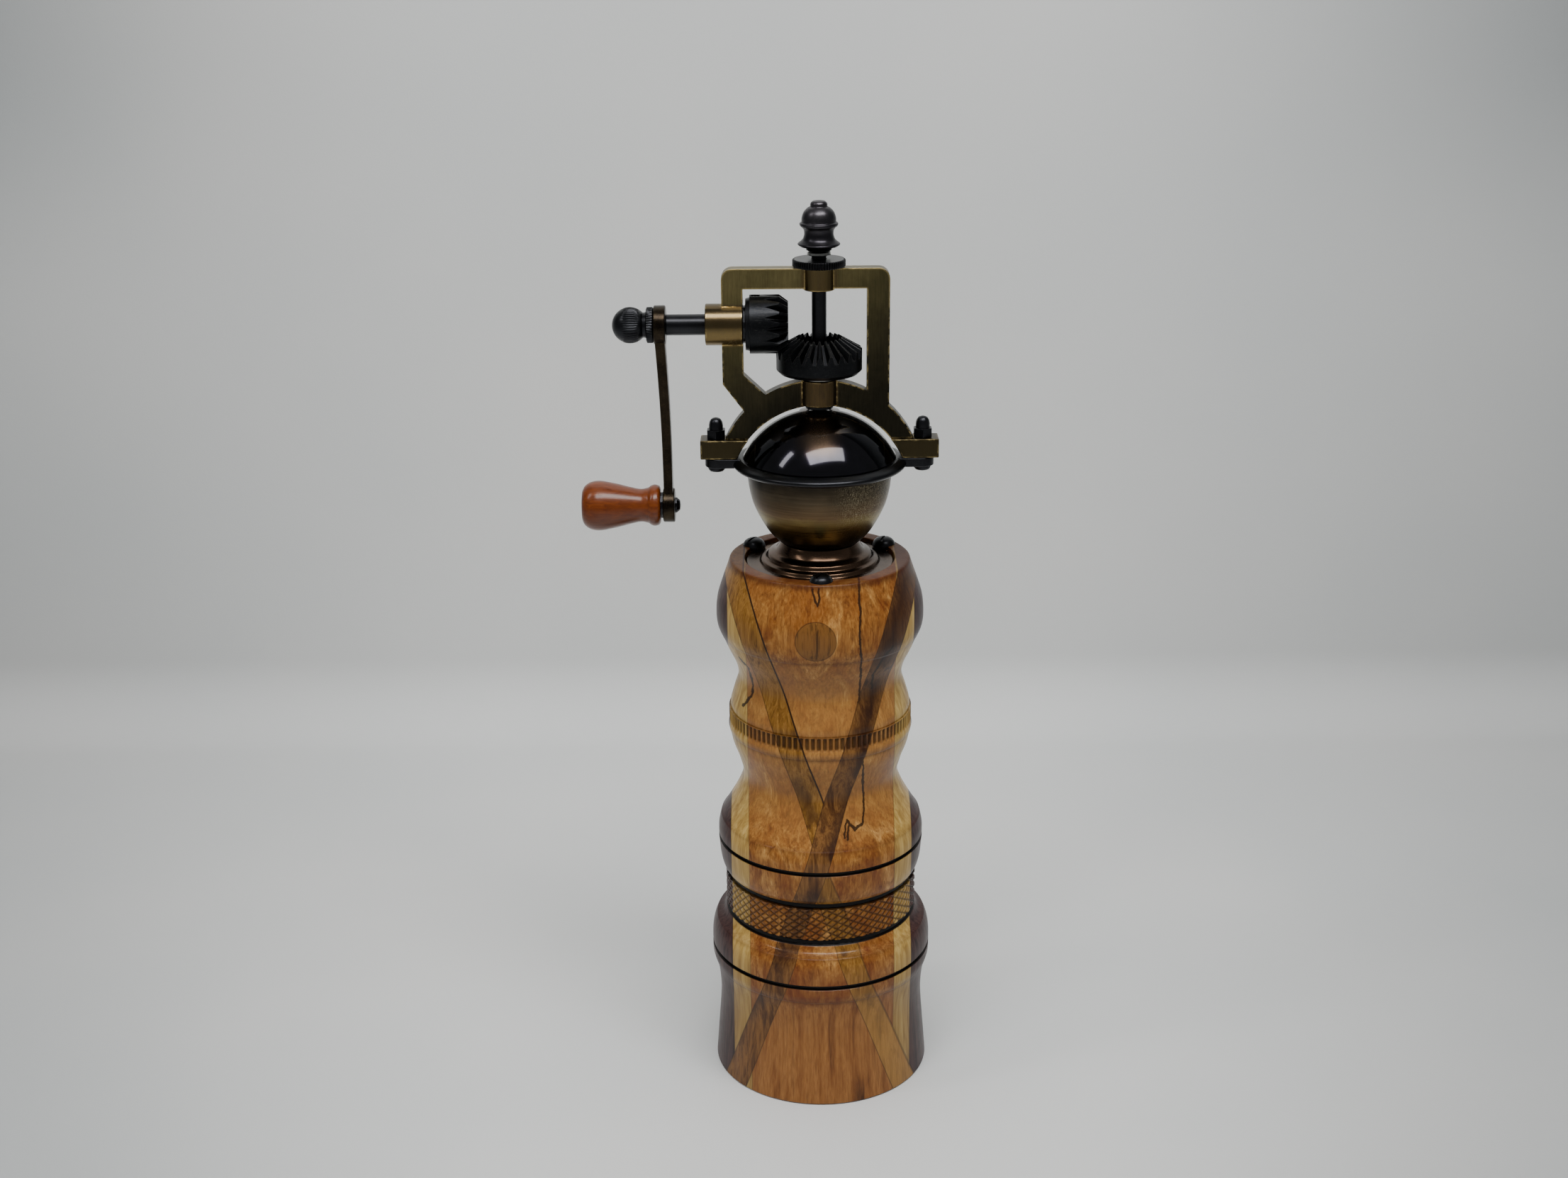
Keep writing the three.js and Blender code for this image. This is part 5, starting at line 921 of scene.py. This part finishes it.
def domed_screw(place):
    """A shank and a tall domed head with a slot cut across it."""
    shank_low = levels("flange_screw_front")[0]
    head = flowing([(3.75, plate_top + 0.1), (3.95, plate_top + 0.6), (3.8, plate_top + 1.5),
                    (3.1, plate_top + 2.7), (1.8, plate_top + 3.5), (0.6, plate_top + 3.75)], 4)
    outline = [(0, shank_low), (1.3, shank_low), (1.3, plate_top + 0.1)] + head + [(0, plate_top + 3.8)]
    slot_cut = box(-5, 5, -0.45, 0.45, plate_top + 2.9, plate_top + 6)
    cut = combined(spun(outline, 40), [slot_cut], "DIFFERENCE")
    stopped_at = place.x  # in radians: each screw stopped turning somewhere else
    return moved(cut, (place.x, place.y, 0), Matrix.Rotation(stopped_at, 3, "Z"))


for side, place in zip(("front", "right", "left"), screw_places):
    make_piece(f"{side}_screw", domed_screw(place), "mill_body", BLACK_STEEL,
               [f"flange_screw_{side}"], 30)

bowl_low, bowl_top = levels("bowl")
bowl_foot = neck_top + 0.1


def bowl_wall(inset, lift):
    return flowing([
        (14.2 - inset, bowl_foot + 1.0 + lift), (17.6 - inset, bowl_foot + 4.8 + lift),
        (21.3 - inset, bowl_foot + 11.6), (23.1 - inset, bowl_foot + 17.3), (24.2 - inset, bowl_top)])


bowl_outline = (
    [(10.9, bowl_low), (10.9, bowl_foot), (12.9, bowl_foot), (13.1, bowl_foot + 0.5)]
    + bowl_wall(0, 0) + bowl_wall(1.2, 1.2)[::-1] + [(9.9, bowl_foot + 1.2), (9.9, bowl_low)])
make_piece("spun_bowl", moved(spun(bowl_outline, 112, closed=True), MILL_AXIS), "mill_body",
           BOWL_BRASS, ["bowl"])

ring_low, ring_top = levels("rim_ring")
ring_bottom = ring_top - 3.7


def rim_ring():
    lip = flowing([
        (24.8, ring_bottom), (27.0, ring_bottom + 0.45), (28.3, ring_bottom + 1.1),
        (28.8, ring_bottom + 1.9), (28.5, ring_bottom + 2.6), (27.7, ring_bottom + 3.1),
        (26.9, ring_bottom + 3.45), (26.2, ring_top)], 4)
    ring = moved(spun(
        [(21.2, ring_low), (22.2, ring_low), (22.2, ring_bottom)] + lip + [(21.2, ring_top)],
        112, closed=True), MILL_AXIS)
    ears = []
    for side in (-1, 1):
        centre = AXIS_X + side * 33.8
        ends = sorted((AXIS_X + side * 24.8, centre))
        ears.append(box(ends[0], ends[1], -4, 4, ring_top - 3, ring_top, 0.3))
        ears.append(rod(4, ring_top - 3, ring_top, 40, (centre, 0), 0.3))
    return combined(ring, ears)


make_piece("eared_ring", rim_ring(), "mill_body", BLACK_STEEL, ["rim_ring"])

# %% [markdown]
# ## Dome and filler door
# The dome is two shells of a sphere. The front half slides round inside the bridge, over the
# fixed rear half, to uncover the filling hole. A thin section with an outer and an inner curve,
# spun through half a turn, makes the door's sheet with its thickness.

# %% Make the dome
door_low, dome_top = levels("filler_door")
DOME_R = 28.1
dome_centre = dome_top - DOME_R


def cap_outline(radius, start, hub):
    """Points of a sphere's section, from a starting angle above its equator in to the hub."""
    count = 26
    end = math.acos(hub / radius)
    angles = [start + (end - start) * i / count for i in range(count + 1)]
    return [(radius * math.cos(a), dome_centre + radius * math.sin(a)) for a in angles]


def shell_section(radius, low, sheet, hub):
    """A thin dome section as a closed outline with a slightly rounded lower lip."""
    outer = cap_outline(radius, math.asin((low - dome_centre) / radius), hub)
    inner = cap_outline(radius - sheet, math.asin((low - dome_centre) / (radius - sheet)), hub)
    return [((outer[0][0] + inner[0][0]) / 2, low - 0.1)] + outer + inner[::-1]


def hub_section(radius, reach, sheet, hub):
    """The dome's round hub, cut off square at its reach from the axis."""
    outer = cap_outline(radius, math.acos(reach / radius), hub)
    return outer + cap_outline(radius - sheet, math.acos(reach / (radius - sheet)), hub)[::-1]


def part_turn(outline, start, sweep, facets):
    """Spins a closed outline through part of a turn and caps both ends."""
    shape = bmesh.new()
    points = [shape.verts.new((r * MM, 0, z * MM)) for r, z in outline]
    face = shape.faces.new(points)
    bmesh.ops.rotate(shape, verts=shape.verts, cent=(0, 0, 0), matrix=Matrix.Rotation(start, 3, "Z"))
    bmesh.ops.spin(
        shape, geom=[face], cent=(0, 0, 0), axis=(0, 0, 1), dvec=(0, 0, 0), angle=sweep,
        steps=facets, use_merge=False, use_normal_flip=False, use_duplicate=False)
    bmesh.ops.recalc_face_normals(shape, faces=shape.faces)
    return shape


SHAFT_HOLE, HUB_REACH, SHEET = 3.75, 6.6, 0.8
door = combined(
    part_turn(shell_section(DOME_R, door_low, SHEET, SHAFT_HOLE), math.pi, math.pi, 64),
    [spun(hub_section(DOME_R, HUB_REACH, SHEET, SHAFT_HOLE), 64, closed=True)])
make_piece("front_door", moved(door, MILL_AXIS), "door", NICKEL, ["filler_door"])
shell_low = ring_top + 0.1
lap = math.radians(8)
rear = part_turn(shell_section(DOME_R - 1.2, shell_low + 0.5, SHEET, SHAFT_HOLE), -lap,
                 math.pi + 2 * lap, 64)
rear = combined(rear, [
    spun(hub_section(DOME_R - 1.2, HUB_REACH, SHEET, SHAFT_HOLE), 64, closed=True),
    spun([(21.2, shell_low), (24.0, shell_low), (24.0, shell_low + 0.6), (21.2, shell_low + 0.6)],
         96, closed=True)])
make_piece("rear_dome", moved(rear, MILL_AXIS), "mill_body", NICKEL, ["dome_shell"])
collar_low, collar_top = levels("dome_collar")
collar = spun([(SHAFT_HOLE, collar_low), (4.5, collar_low), (4.6, collar_low + 0.2),
               (4.6, collar_top - 0.2), (4.5, collar_top), (SHAFT_HOLE, collar_top)], 40, closed=True)
make_piece("boss_collar", moved(collar, MILL_AXIS), "mill_body", BLACK_STEEL,
           ["dome_collar"])

# %% [markdown]
# ## The cast bridge
# A flat casting: a window frame whose columns stand on an arch, and the arch on two thicker
# feet. Drawn as two loops of edges, outline and window, it fills to one flat face, and an
# extrusion gives the thickness. Bosses are added for the bearings and bored afterwards.

# %% Cast the bridge
bridge_base = levels("bridge_frame")[0]
foot_top = bridge_base + 6.4
arch_crown = 251.2 - 224.9 + bridge_base
ARCH_END = 30.94
LEFT_SIDE, RIGHT_SIDE, WINDOW_LEFT, WINDOW_RIGHT, CORNER = -31.5, 22.8, -24.6, 15.4, 3.5
arch_centre = (arch_crown ** 2 - foot_top ** 2 - ARCH_END ** 2) / (2 * (arch_crown - foot_top))
arch_radius = arch_crown - arch_centre
UNDER_RADIUS = DOME_R + 1.6
bar_top = levels("bridge_frame")[1] - 0.2
bar_bottom = bar_top - 6.6


def arc(radius, centre, x0, x1, count):
    """Points along a circle on the mill's axis, from one side position to another."""
    a0, a1 = math.acos(x0 / radius), math.acos(x1 / radius)
    angles = [a0 + (a1 - a0) * i / count for i in range(count + 1)]
    return [(radius * math.cos(a), centre + radius * math.sin(a)) for a in angles]


def corner(x, z, start):
    """A quarter circle that rounds a corner clockwise from a starting angle."""
    angles = [start - math.pi / 2 * i / 6 for i in range(7)]
    return [(x + CORNER * math.cos(a), z + CORNER * math.sin(a)) for a in angles]


def plate(loops, thickness, edge):
    """Fills loops of (x, z) to a flat face, gives it thickness and rounds its rims."""
    shape = bmesh.new()
    for loop in loops:
        points = [shape.verts.new((x * MM, -thickness / 2 * MM, z * MM)) for x, z in loop]
        for pair in zip(points, points[1:] + points[:1]):
            shape.edges.new(pair)
    bmesh.ops.triangle_fill(shape, use_beauty=True, use_dissolve=False, edges=shape.edges[:])
    grown = bmesh.ops.extrude_face_region(shape, geom=shape.faces[:])["geom"]
    points = [g for g in grown if isinstance(g, bmesh.types.BMVert)]
    bmesh.ops.translate(shape, verts=points, vec=(0, thickness * MM, 0))
    bmesh.ops.recalc_face_normals(shape, faces=shape.faces)
    return soften(shape, edge, 60, 3)


def bridge():
    knee = bridge_base + 25
    outline = (
        arc(arch_radius, arch_centre, -ARCH_END, WINDOW_LEFT, 5)
        + [(LEFT_SIDE, knee)]
        + corner(LEFT_SIDE + CORNER, bar_top - CORNER, math.pi)
        + corner(RIGHT_SIDE - CORNER, bar_top - CORNER, math.pi / 2)
        + arc(arch_radius, arch_centre, RIGHT_SIDE, ARCH_END, 5)
        + [(ARCH_END, bridge_base + 3)]
        + arc(UNDER_RADIUS, dome_centre, 25.6, -25.6, 40)
        + [(-ARCH_END, bridge_base + 3)])
    window = (
        [(WINDOW_LEFT, knee + 3), (WINDOW_LEFT, bar_bottom), (WINDOW_RIGHT, bar_bottom)]
        + arc(arch_radius, arch_centre, WINDOW_RIGHT, -17.6, 20))
    frame_plate = plate([outline, window], 5, 0.55)
    feet = []
    for side in (-1, 1):
        toe = [(side * x, z) for x, z in arc(UNDER_RADIUS, dome_centre, 27.2, 23.4, 4)]
        foot = toe + [(side * 39.2, foot_top), (side * 39.2, bridge_base)]
        feet.append(plate([foot], 8, 0.35))
    top_boss = rod(5.2, bar_bottom - 0.6, bar_top + 0.2, 48, edge=0.3)
    low_boss = rod(6.1, levels("dome_collar")[1] + 0.1, arch_crown, 48, edge=0.35)
    side_boss = moved(rod(6.75, 24.6, 36.8, 56, edge=0.4), (0, 0, CRANK_Z), SIDEWAYS)
    cast = combined(frame_plate, feet + [top_boss, low_boss, side_boss])
    bolts = [rod(1.7, bridge_base - 3, foot_top + 3, 20, (side * 34, 0)) for side in (-1, 1)]
    bores = [
        rod(3.73, bridge_base, CRANK_Z - 7, 32),
        rod(2.55, CRANK_Z, bar_top + 5, 32),
        moved(rod(3.55, 20, 40, 40), (0, 0, CRANK_Z), SIDEWAYS)]
    return moved(combined(cast, bolts + bores, "DIFFERENCE"), MILL_AXIS)


make_piece("cast_bridge", bridge(), "mill_body", BRASS, ["bridge_frame"], 32)

# %% [markdown]
# ## Small pieces that are right already
# The working model's gears, bolts and nuts have their true shape but razor-sharp edges. A copy of
# the mesh is merged, its flat triangles are dissolved into whole faces, and a small bevel
# gives the edges that catch the light. Redrawing the gear teeth would only risk the mesh.

# %% Soften the gears, screws and nuts


def softened_copy(node, width, limit=35, segments=2):
    shape = bmesh.new()
    shape.from_mesh(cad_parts[node].data)
    bmesh.ops.remove_doubles(shape, verts=shape.verts, dist=2e-6)
    bmesh.ops.dissolve_limit(
        shape, angle_limit=math.radians(0.8), use_dissolve_boundaries=False, verts=shape.verts,
        edges=shape.edges, delimit=set())
    return soften(shape, width, limit, segments)


softened = [
    ("ring_gear", "bevel_ring", "spindle", GEAR_STEEL, "black_steel", 0.1, 30),
    ("pinion_gear", "bevel_pinion", "crank", GEAR_STEEL, "black_steel", 0.1, 30),
    ("acorn_nut_left", "left_acorn", "mill_body", BLACK_STEEL, "black_steel", 0.15, 50),
    ("acorn_nut_right", "right_acorn", "mill_body", BLACK_STEEL, "black_steel", 0.15, 50),
    ("bridge_bolt_left", "left_bolt", "mill_body", BLACK_STEEL, "black_steel", 0.12, 40),
    ("bridge_bolt_right", "right_bolt", "mill_body", BLACK_STEEL, "black_steel", 0.12, 40),
    ("stator_burr", "toothed_ring", "mill_body", BURR_STEEL, "burr_steel", 0.1, 40),
    ("rotor_burr", "toothed_cone", "driven_shaft", BURR_STEEL, "burr_steel", 0.1, 40),
    ("retaining_strap", "bent_strap", "mill_body", BRIGHT_STEEL, "bright_steel", 0.2, 30),
]
for node, name, body_name, finish, slot, width, limit in softened:
    make_piece(name, softened_copy(node, width, limit), body_name, finish, [node], 30)

# %% [markdown]
# ## Shaft, adjuster, finial and springs
# The drive shaft is square below, where it drives the gear, and round above. The adjuster's rim is
# serrated for the fingers, and the finial on top is a little turned acorn. A spring has to be wound:
# its round section climbs as it spins, which a plain spin about the axis would not do.

# %% Make the upright parts
shaft_low, shaft_top = levels("drive_shaft")
square_top = CRANK_Z - 6.8


def drive_shaft():
    shank = box(-2.35, 2.35, -2.35, 2.35, 13.1, square_top, 0.2)
    return moved(combined(shank, [
        rod(2.4, square_top - 3, shaft_top, 32, edge=0.2), rod(2.0, shaft_low, 15, 24, edge=0.2)]), MILL_AXIS)


make_piece("drive_rod", drive_shaft(), "driven_shaft", BLACK_STEEL, ["drive_shaft"])

nut_low, nut_top = levels("adjuster_nut")


def serrated_disc(radius, teeth, depth, low, high):
    """A disc whose rim is pushed in between its teeth, four columns to a tooth."""
    rim = [(radius - 0.35, low), (radius, low + 0.3), (radius, high - 0.3), (radius - 0.35, high)]
    disc = spun([(0, low), (radius - 1.2, low), *rim, (radius - 1.4, high), (0, high)], teeth * 4)
    for v in disc.verts:
        reach = math.hypot(v.co.x, v.co.y) / MM
        column = round(math.atan2(v.co.y, v.co.x) / TURN * teeth * 4)
        if reach > radius - 0.6 and column % 4 in (2, 3):
            shrink = (reach - depth) / reach
            v.co.x, v.co.y = v.co.x * shrink, v.co.y * shrink
    return disc


nut = combined(serrated_disc(8.6, 60, 0.42, nut_low, nut_top), [rod(2.55, nut_low - 1, nut_top + 1)],
               "DIFFERENCE")
make_piece("serrated_nut", moved(nut, MILL_AXIS), "adjuster", BLACK_STEEL,
           ["adjuster_nut"], 30)

fin_low, fin_top = levels("finial")


def finial_outline():
    z = fin_low
    foot = [(0, z), (3.4, z), (4.1, z + 0.3), (4.3, z + 1.2), (4.8, z + 1.4)]
    flare = flowing([(6.2, z + 1.5), (6.8, z + 2.0), (6.75, z + 2.4), (6.1, z + 2.9), (5.2, z + 3.8),
                     (4.75, z + 5.2), (4.85, z + 6.6), (5.5, z + 7.6)], 4)
    bead = flowing([(5.9, z + 7.8), (6.2, z + 8.3), (6.15, z + 8.8), (5.7, z + 9.15)], 4)
    acorn = flowing([(5.55, z + 9.3), (5.5, z + 10.6), (4.9, z + 12.3), (3.7, z + 13.6), (2.9, z + 14.0)], 4)
    tip = flowing([(2.75, z + 14.2), (2.7, z + 15.0), (2.1, z + 15.7), (1.1, z + 15.95)], 4)
    return foot + flare + bead + acorn + tip + [(0, fin_top)]


make_piece("acorn_finial", moved(spun(finial_outline(), 72), MILL_AXIS), "driven_shaft", FINIAL_NICKEL,
           ["finial"], 60)


def coil(name, node, turns, wire, body_name, below=0.0, above=0.0):
    """A spring: a round section spun through several turns while it climbs.

    It cannot shorten as a real one does, so the shaft's lift is left free below or above it."""
    low, high = levels(node)
    low, high = low + below, high - above
    reach = (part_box(node)[1].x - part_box(node)[0].x) / MM / 2 - wire
    section = bmesh.new()
    ring = bmesh.ops.create_circle(section, cap_ends=False, segments=10, radius=wire * MM)
    upright = Matrix.Rotation(math.pi / 2, 3, "X")
    bmesh.ops.rotate(section, verts=ring["verts"], cent=(0, 0, 0), matrix=upright)
    bmesh.ops.translate(section, verts=ring["verts"], vec=(reach * MM, 0, (low + wire) * MM))
    steps = int(turns * 36)
    climb = (high - low - 2 * wire) / steps * MM
    bmesh.ops.spin(
        section, geom=section.verts[:] + section.edges[:], cent=(0, 0, 0), axis=(0, 0, 1),
        dvec=(0, 0, climb), angle=TURN * turns, steps=steps, use_merge=False,
        use_normal_flip=False, use_duplicate=False)
    bmesh.ops.holes_fill(section, edges=[e for e in section.edges if e.is_boundary], sides=12)
    bmesh.ops.recalc_face_normals(section, faces=section.faces)
    return make_piece(name, moved(section, MILL_AXIS), body_name, BRIGHT_STEEL, [node])


LIFT_ROOM = 0.85
coil("finial_coil", "finial_spring", 2.2, 0.3, "driven_shaft", below=LIFT_ROOM)
coil("burr_coil", "burr_spring", 4, 0.55, "driven_shaft", above=LIFT_ROOM)

# %% [markdown]
# ## The crank
# Everything here lies along the crank's axis, so it is made upright, where a spin is
# simple, and then laid on its side.

# %% Make the crank's shaft, arm and ball nut
ARM_LENGTH = CRANK_Z - middle("crank_knob").z
shaft_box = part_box("crank_shaft")
shaft_reach = [AXIS_X - shaft_box[1].x / MM, AXIS_X - shaft_box[0].x / MM]
EYE_NEAR, EYE_THICK = 49.6, 3.9


def crank_shaft():
    return on_crank(combined(
        rod(3.4, 23.9, EYE_NEAR - 0.1, 48, edge=0.25),
        [rod(2.4, shaft_reach[0], 25, 32, edge=0.2), rod(2.4, 48, shaft_reach[1], 32, edge=0.2)]))


make_piece("crank_rod", crank_shaft(), "crank", BLACK_STEEL, ["crank_shaft"])


def crank_arm():
    """Two round eyes joined by a bar that bows a little, narrows in the middle and steps down and thins
    towards the far eye.
    """
    low_near = EYE_NEAR - 1.5
    eye = rod(6.35, EYE_NEAR, EYE_NEAR + EYE_THICK, 56, edge=0.5)
    end = rod(5.7, low_near, low_near + EYE_THICK, 48, (-ARM_LENGTH, 0), 0.45)
    bar = bmesh.new()
    bmesh.ops.create_cube(bar, size=MM)
    bmesh.ops.scale(bar, verts=bar.verts, vec=(ARM_LENGTH - 8, 6.6, 3.3))
    long_edges = [e for e in bar.edges if abs(e.verts[0].co.x - e.verts[1].co.x) > 10 * MM]
    bmesh.ops.subdivide_edges(bar, edges=long_edges, cuts=14, use_grid_fill=True)
    soften(bar, 0.5, 60, 2)
    for v in bar.verts:
        t = 0.5 - v.co.x / MM / (ARM_LENGTH - 8)
        slim = 1 - 0.18 * math.sin(math.pi * t)
        v.co.y *= slim
        v.co.z = v.co.z * (1 - 0.1 * t) + (EYE_NEAR + EYE_THICK / 2 + 0.1 - 1.5 * t
                                           - 0.45 * math.sin(math.pi * t)) * MM
    bmesh.ops.translate(bar, verts=bar.verts, vec=(-ARM_LENGTH / 2 * MM, 0, 0))
    arm = combined(eye, [end, bar])
    holes = [rod(2.5, 30, 70, 32), rod(2.0, 30, 70, 32, (-ARM_LENGTH, 0))]
    return on_crank(combined(arm, holes, "DIFFERENCE"))


make_piece("crank_lever", crank_arm(), "crank", ARM_BRASS, ["crank_arm"], 35)


def ball_nut():
    """A serrated collar and a ball whose widest zone is serrated too."""
    start = EYE_NEAR + EYE_THICK + 0.1
    collar = [(0, start), (5.4, start), (5.8, start + 0.3), (5.8, start + 2.0), (5.2, start + 2.3),
              (4.2, start + 2.45)]
    centre, radius = 61.2, 5.85
    first = math.acos(0.72)
    count = 18
    angles = [math.pi - first - (math.pi - first) * i / count for i in range(count)]
    ball = [(radius * math.sin(a), centre + radius * math.cos(a)) for a in angles]
    teeth = 44
    nut = spun(collar + ball + [(0, centre + radius)], teeth * 3)
    for v in nut.verts:
        out, along = math.hypot(v.co.x, v.co.y) / MM, v.co.z / MM
        column = round(math.atan2(v.co.y, v.co.x) / TURN * teeth * 3)
        on_collar = start + 0.25 < along < start + 2.1 and out > 5
        if (on_collar or abs(along - centre + 0.2) < 2.2) and column % 3 == 0:
            shrink = (out - 0.28) / out
            v.co.x, v.co.y = v.co.x * shrink, v.co.y * shrink
    return on_crank(nut)


make_piece("ball_knob", ball_nut(), "crank", BLACK_STEEL, ["ball_nut"], 50)

# %% [markdown]
# ## The knob
# A small cherry handle turned on its own lathe: a bead at the arm, a narrow neck and a fuller
# end that fills the hand.

# %% Turn the knob
knob_low, knob_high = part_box("crank_knob")
near, far = AXIS_X - knob_high.x / MM, AXIS_X - knob_low.x / MM


def knob_outline():
    n = near
    bead = flowing([(5.6, n), (6.5, n + 0.5), (6.9, n + 1.9), (6.6, n + 3.1), (6.0, n + 4.0)], 5)
    swell = flowing([(5.9, n + 4.2), (5.5, n + 6.6), (6.2, n + 10.2), (7.4, n + 15), (8.3, n + 20),
                     (7.9, n + 23.2), (6.6, n + 25.2), (5.1, far)], 6)
    return [(2.05, n)] + bead + swell + [(3.35, far), (3.35, far - 1.5), (2.05, far - 1.5)]


knob = moved(spun(knob_outline(), 80, closed=True), (-ARM_LENGTH, 0, 0))
make_piece("cherry_knob", on_crank(knob), "knob", CHERRY, ["crank_knob"], 60)

# %% [markdown]
# ## Finishes for the pieces that stay
# The last few nodes are hidden or tiny and already have the right shape. They keep their
# own meshes and only change their finish.

# %% Repaint the remaining nodes
remaining = {
    "pinion_set_screw": BRIGHT_STEEL, "pinion_washer": BLACK_STEEL, "ring_gear_washer": BRIGHT_STEEL,
    "knob_axle": BLACK_STEEL, "knob_spacer": BLACK_STEEL, "knob_cap": BLACK_STEEL,
    "bearing_spider": BRIGHT_STEEL, "strap_screw_left": BRIGHT_STEEL,
    "strap_screw_right": BRIGHT_STEEL, "rotor_nut": BRIGHT_STEEL}
for node, finish in remaining.items():
    for material_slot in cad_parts[node].material_slots:
        material_slot.material = finish
shown = [n for n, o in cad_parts.items() if not o.hide_render]
print("CAD nodes still shown:", sorted(shown))
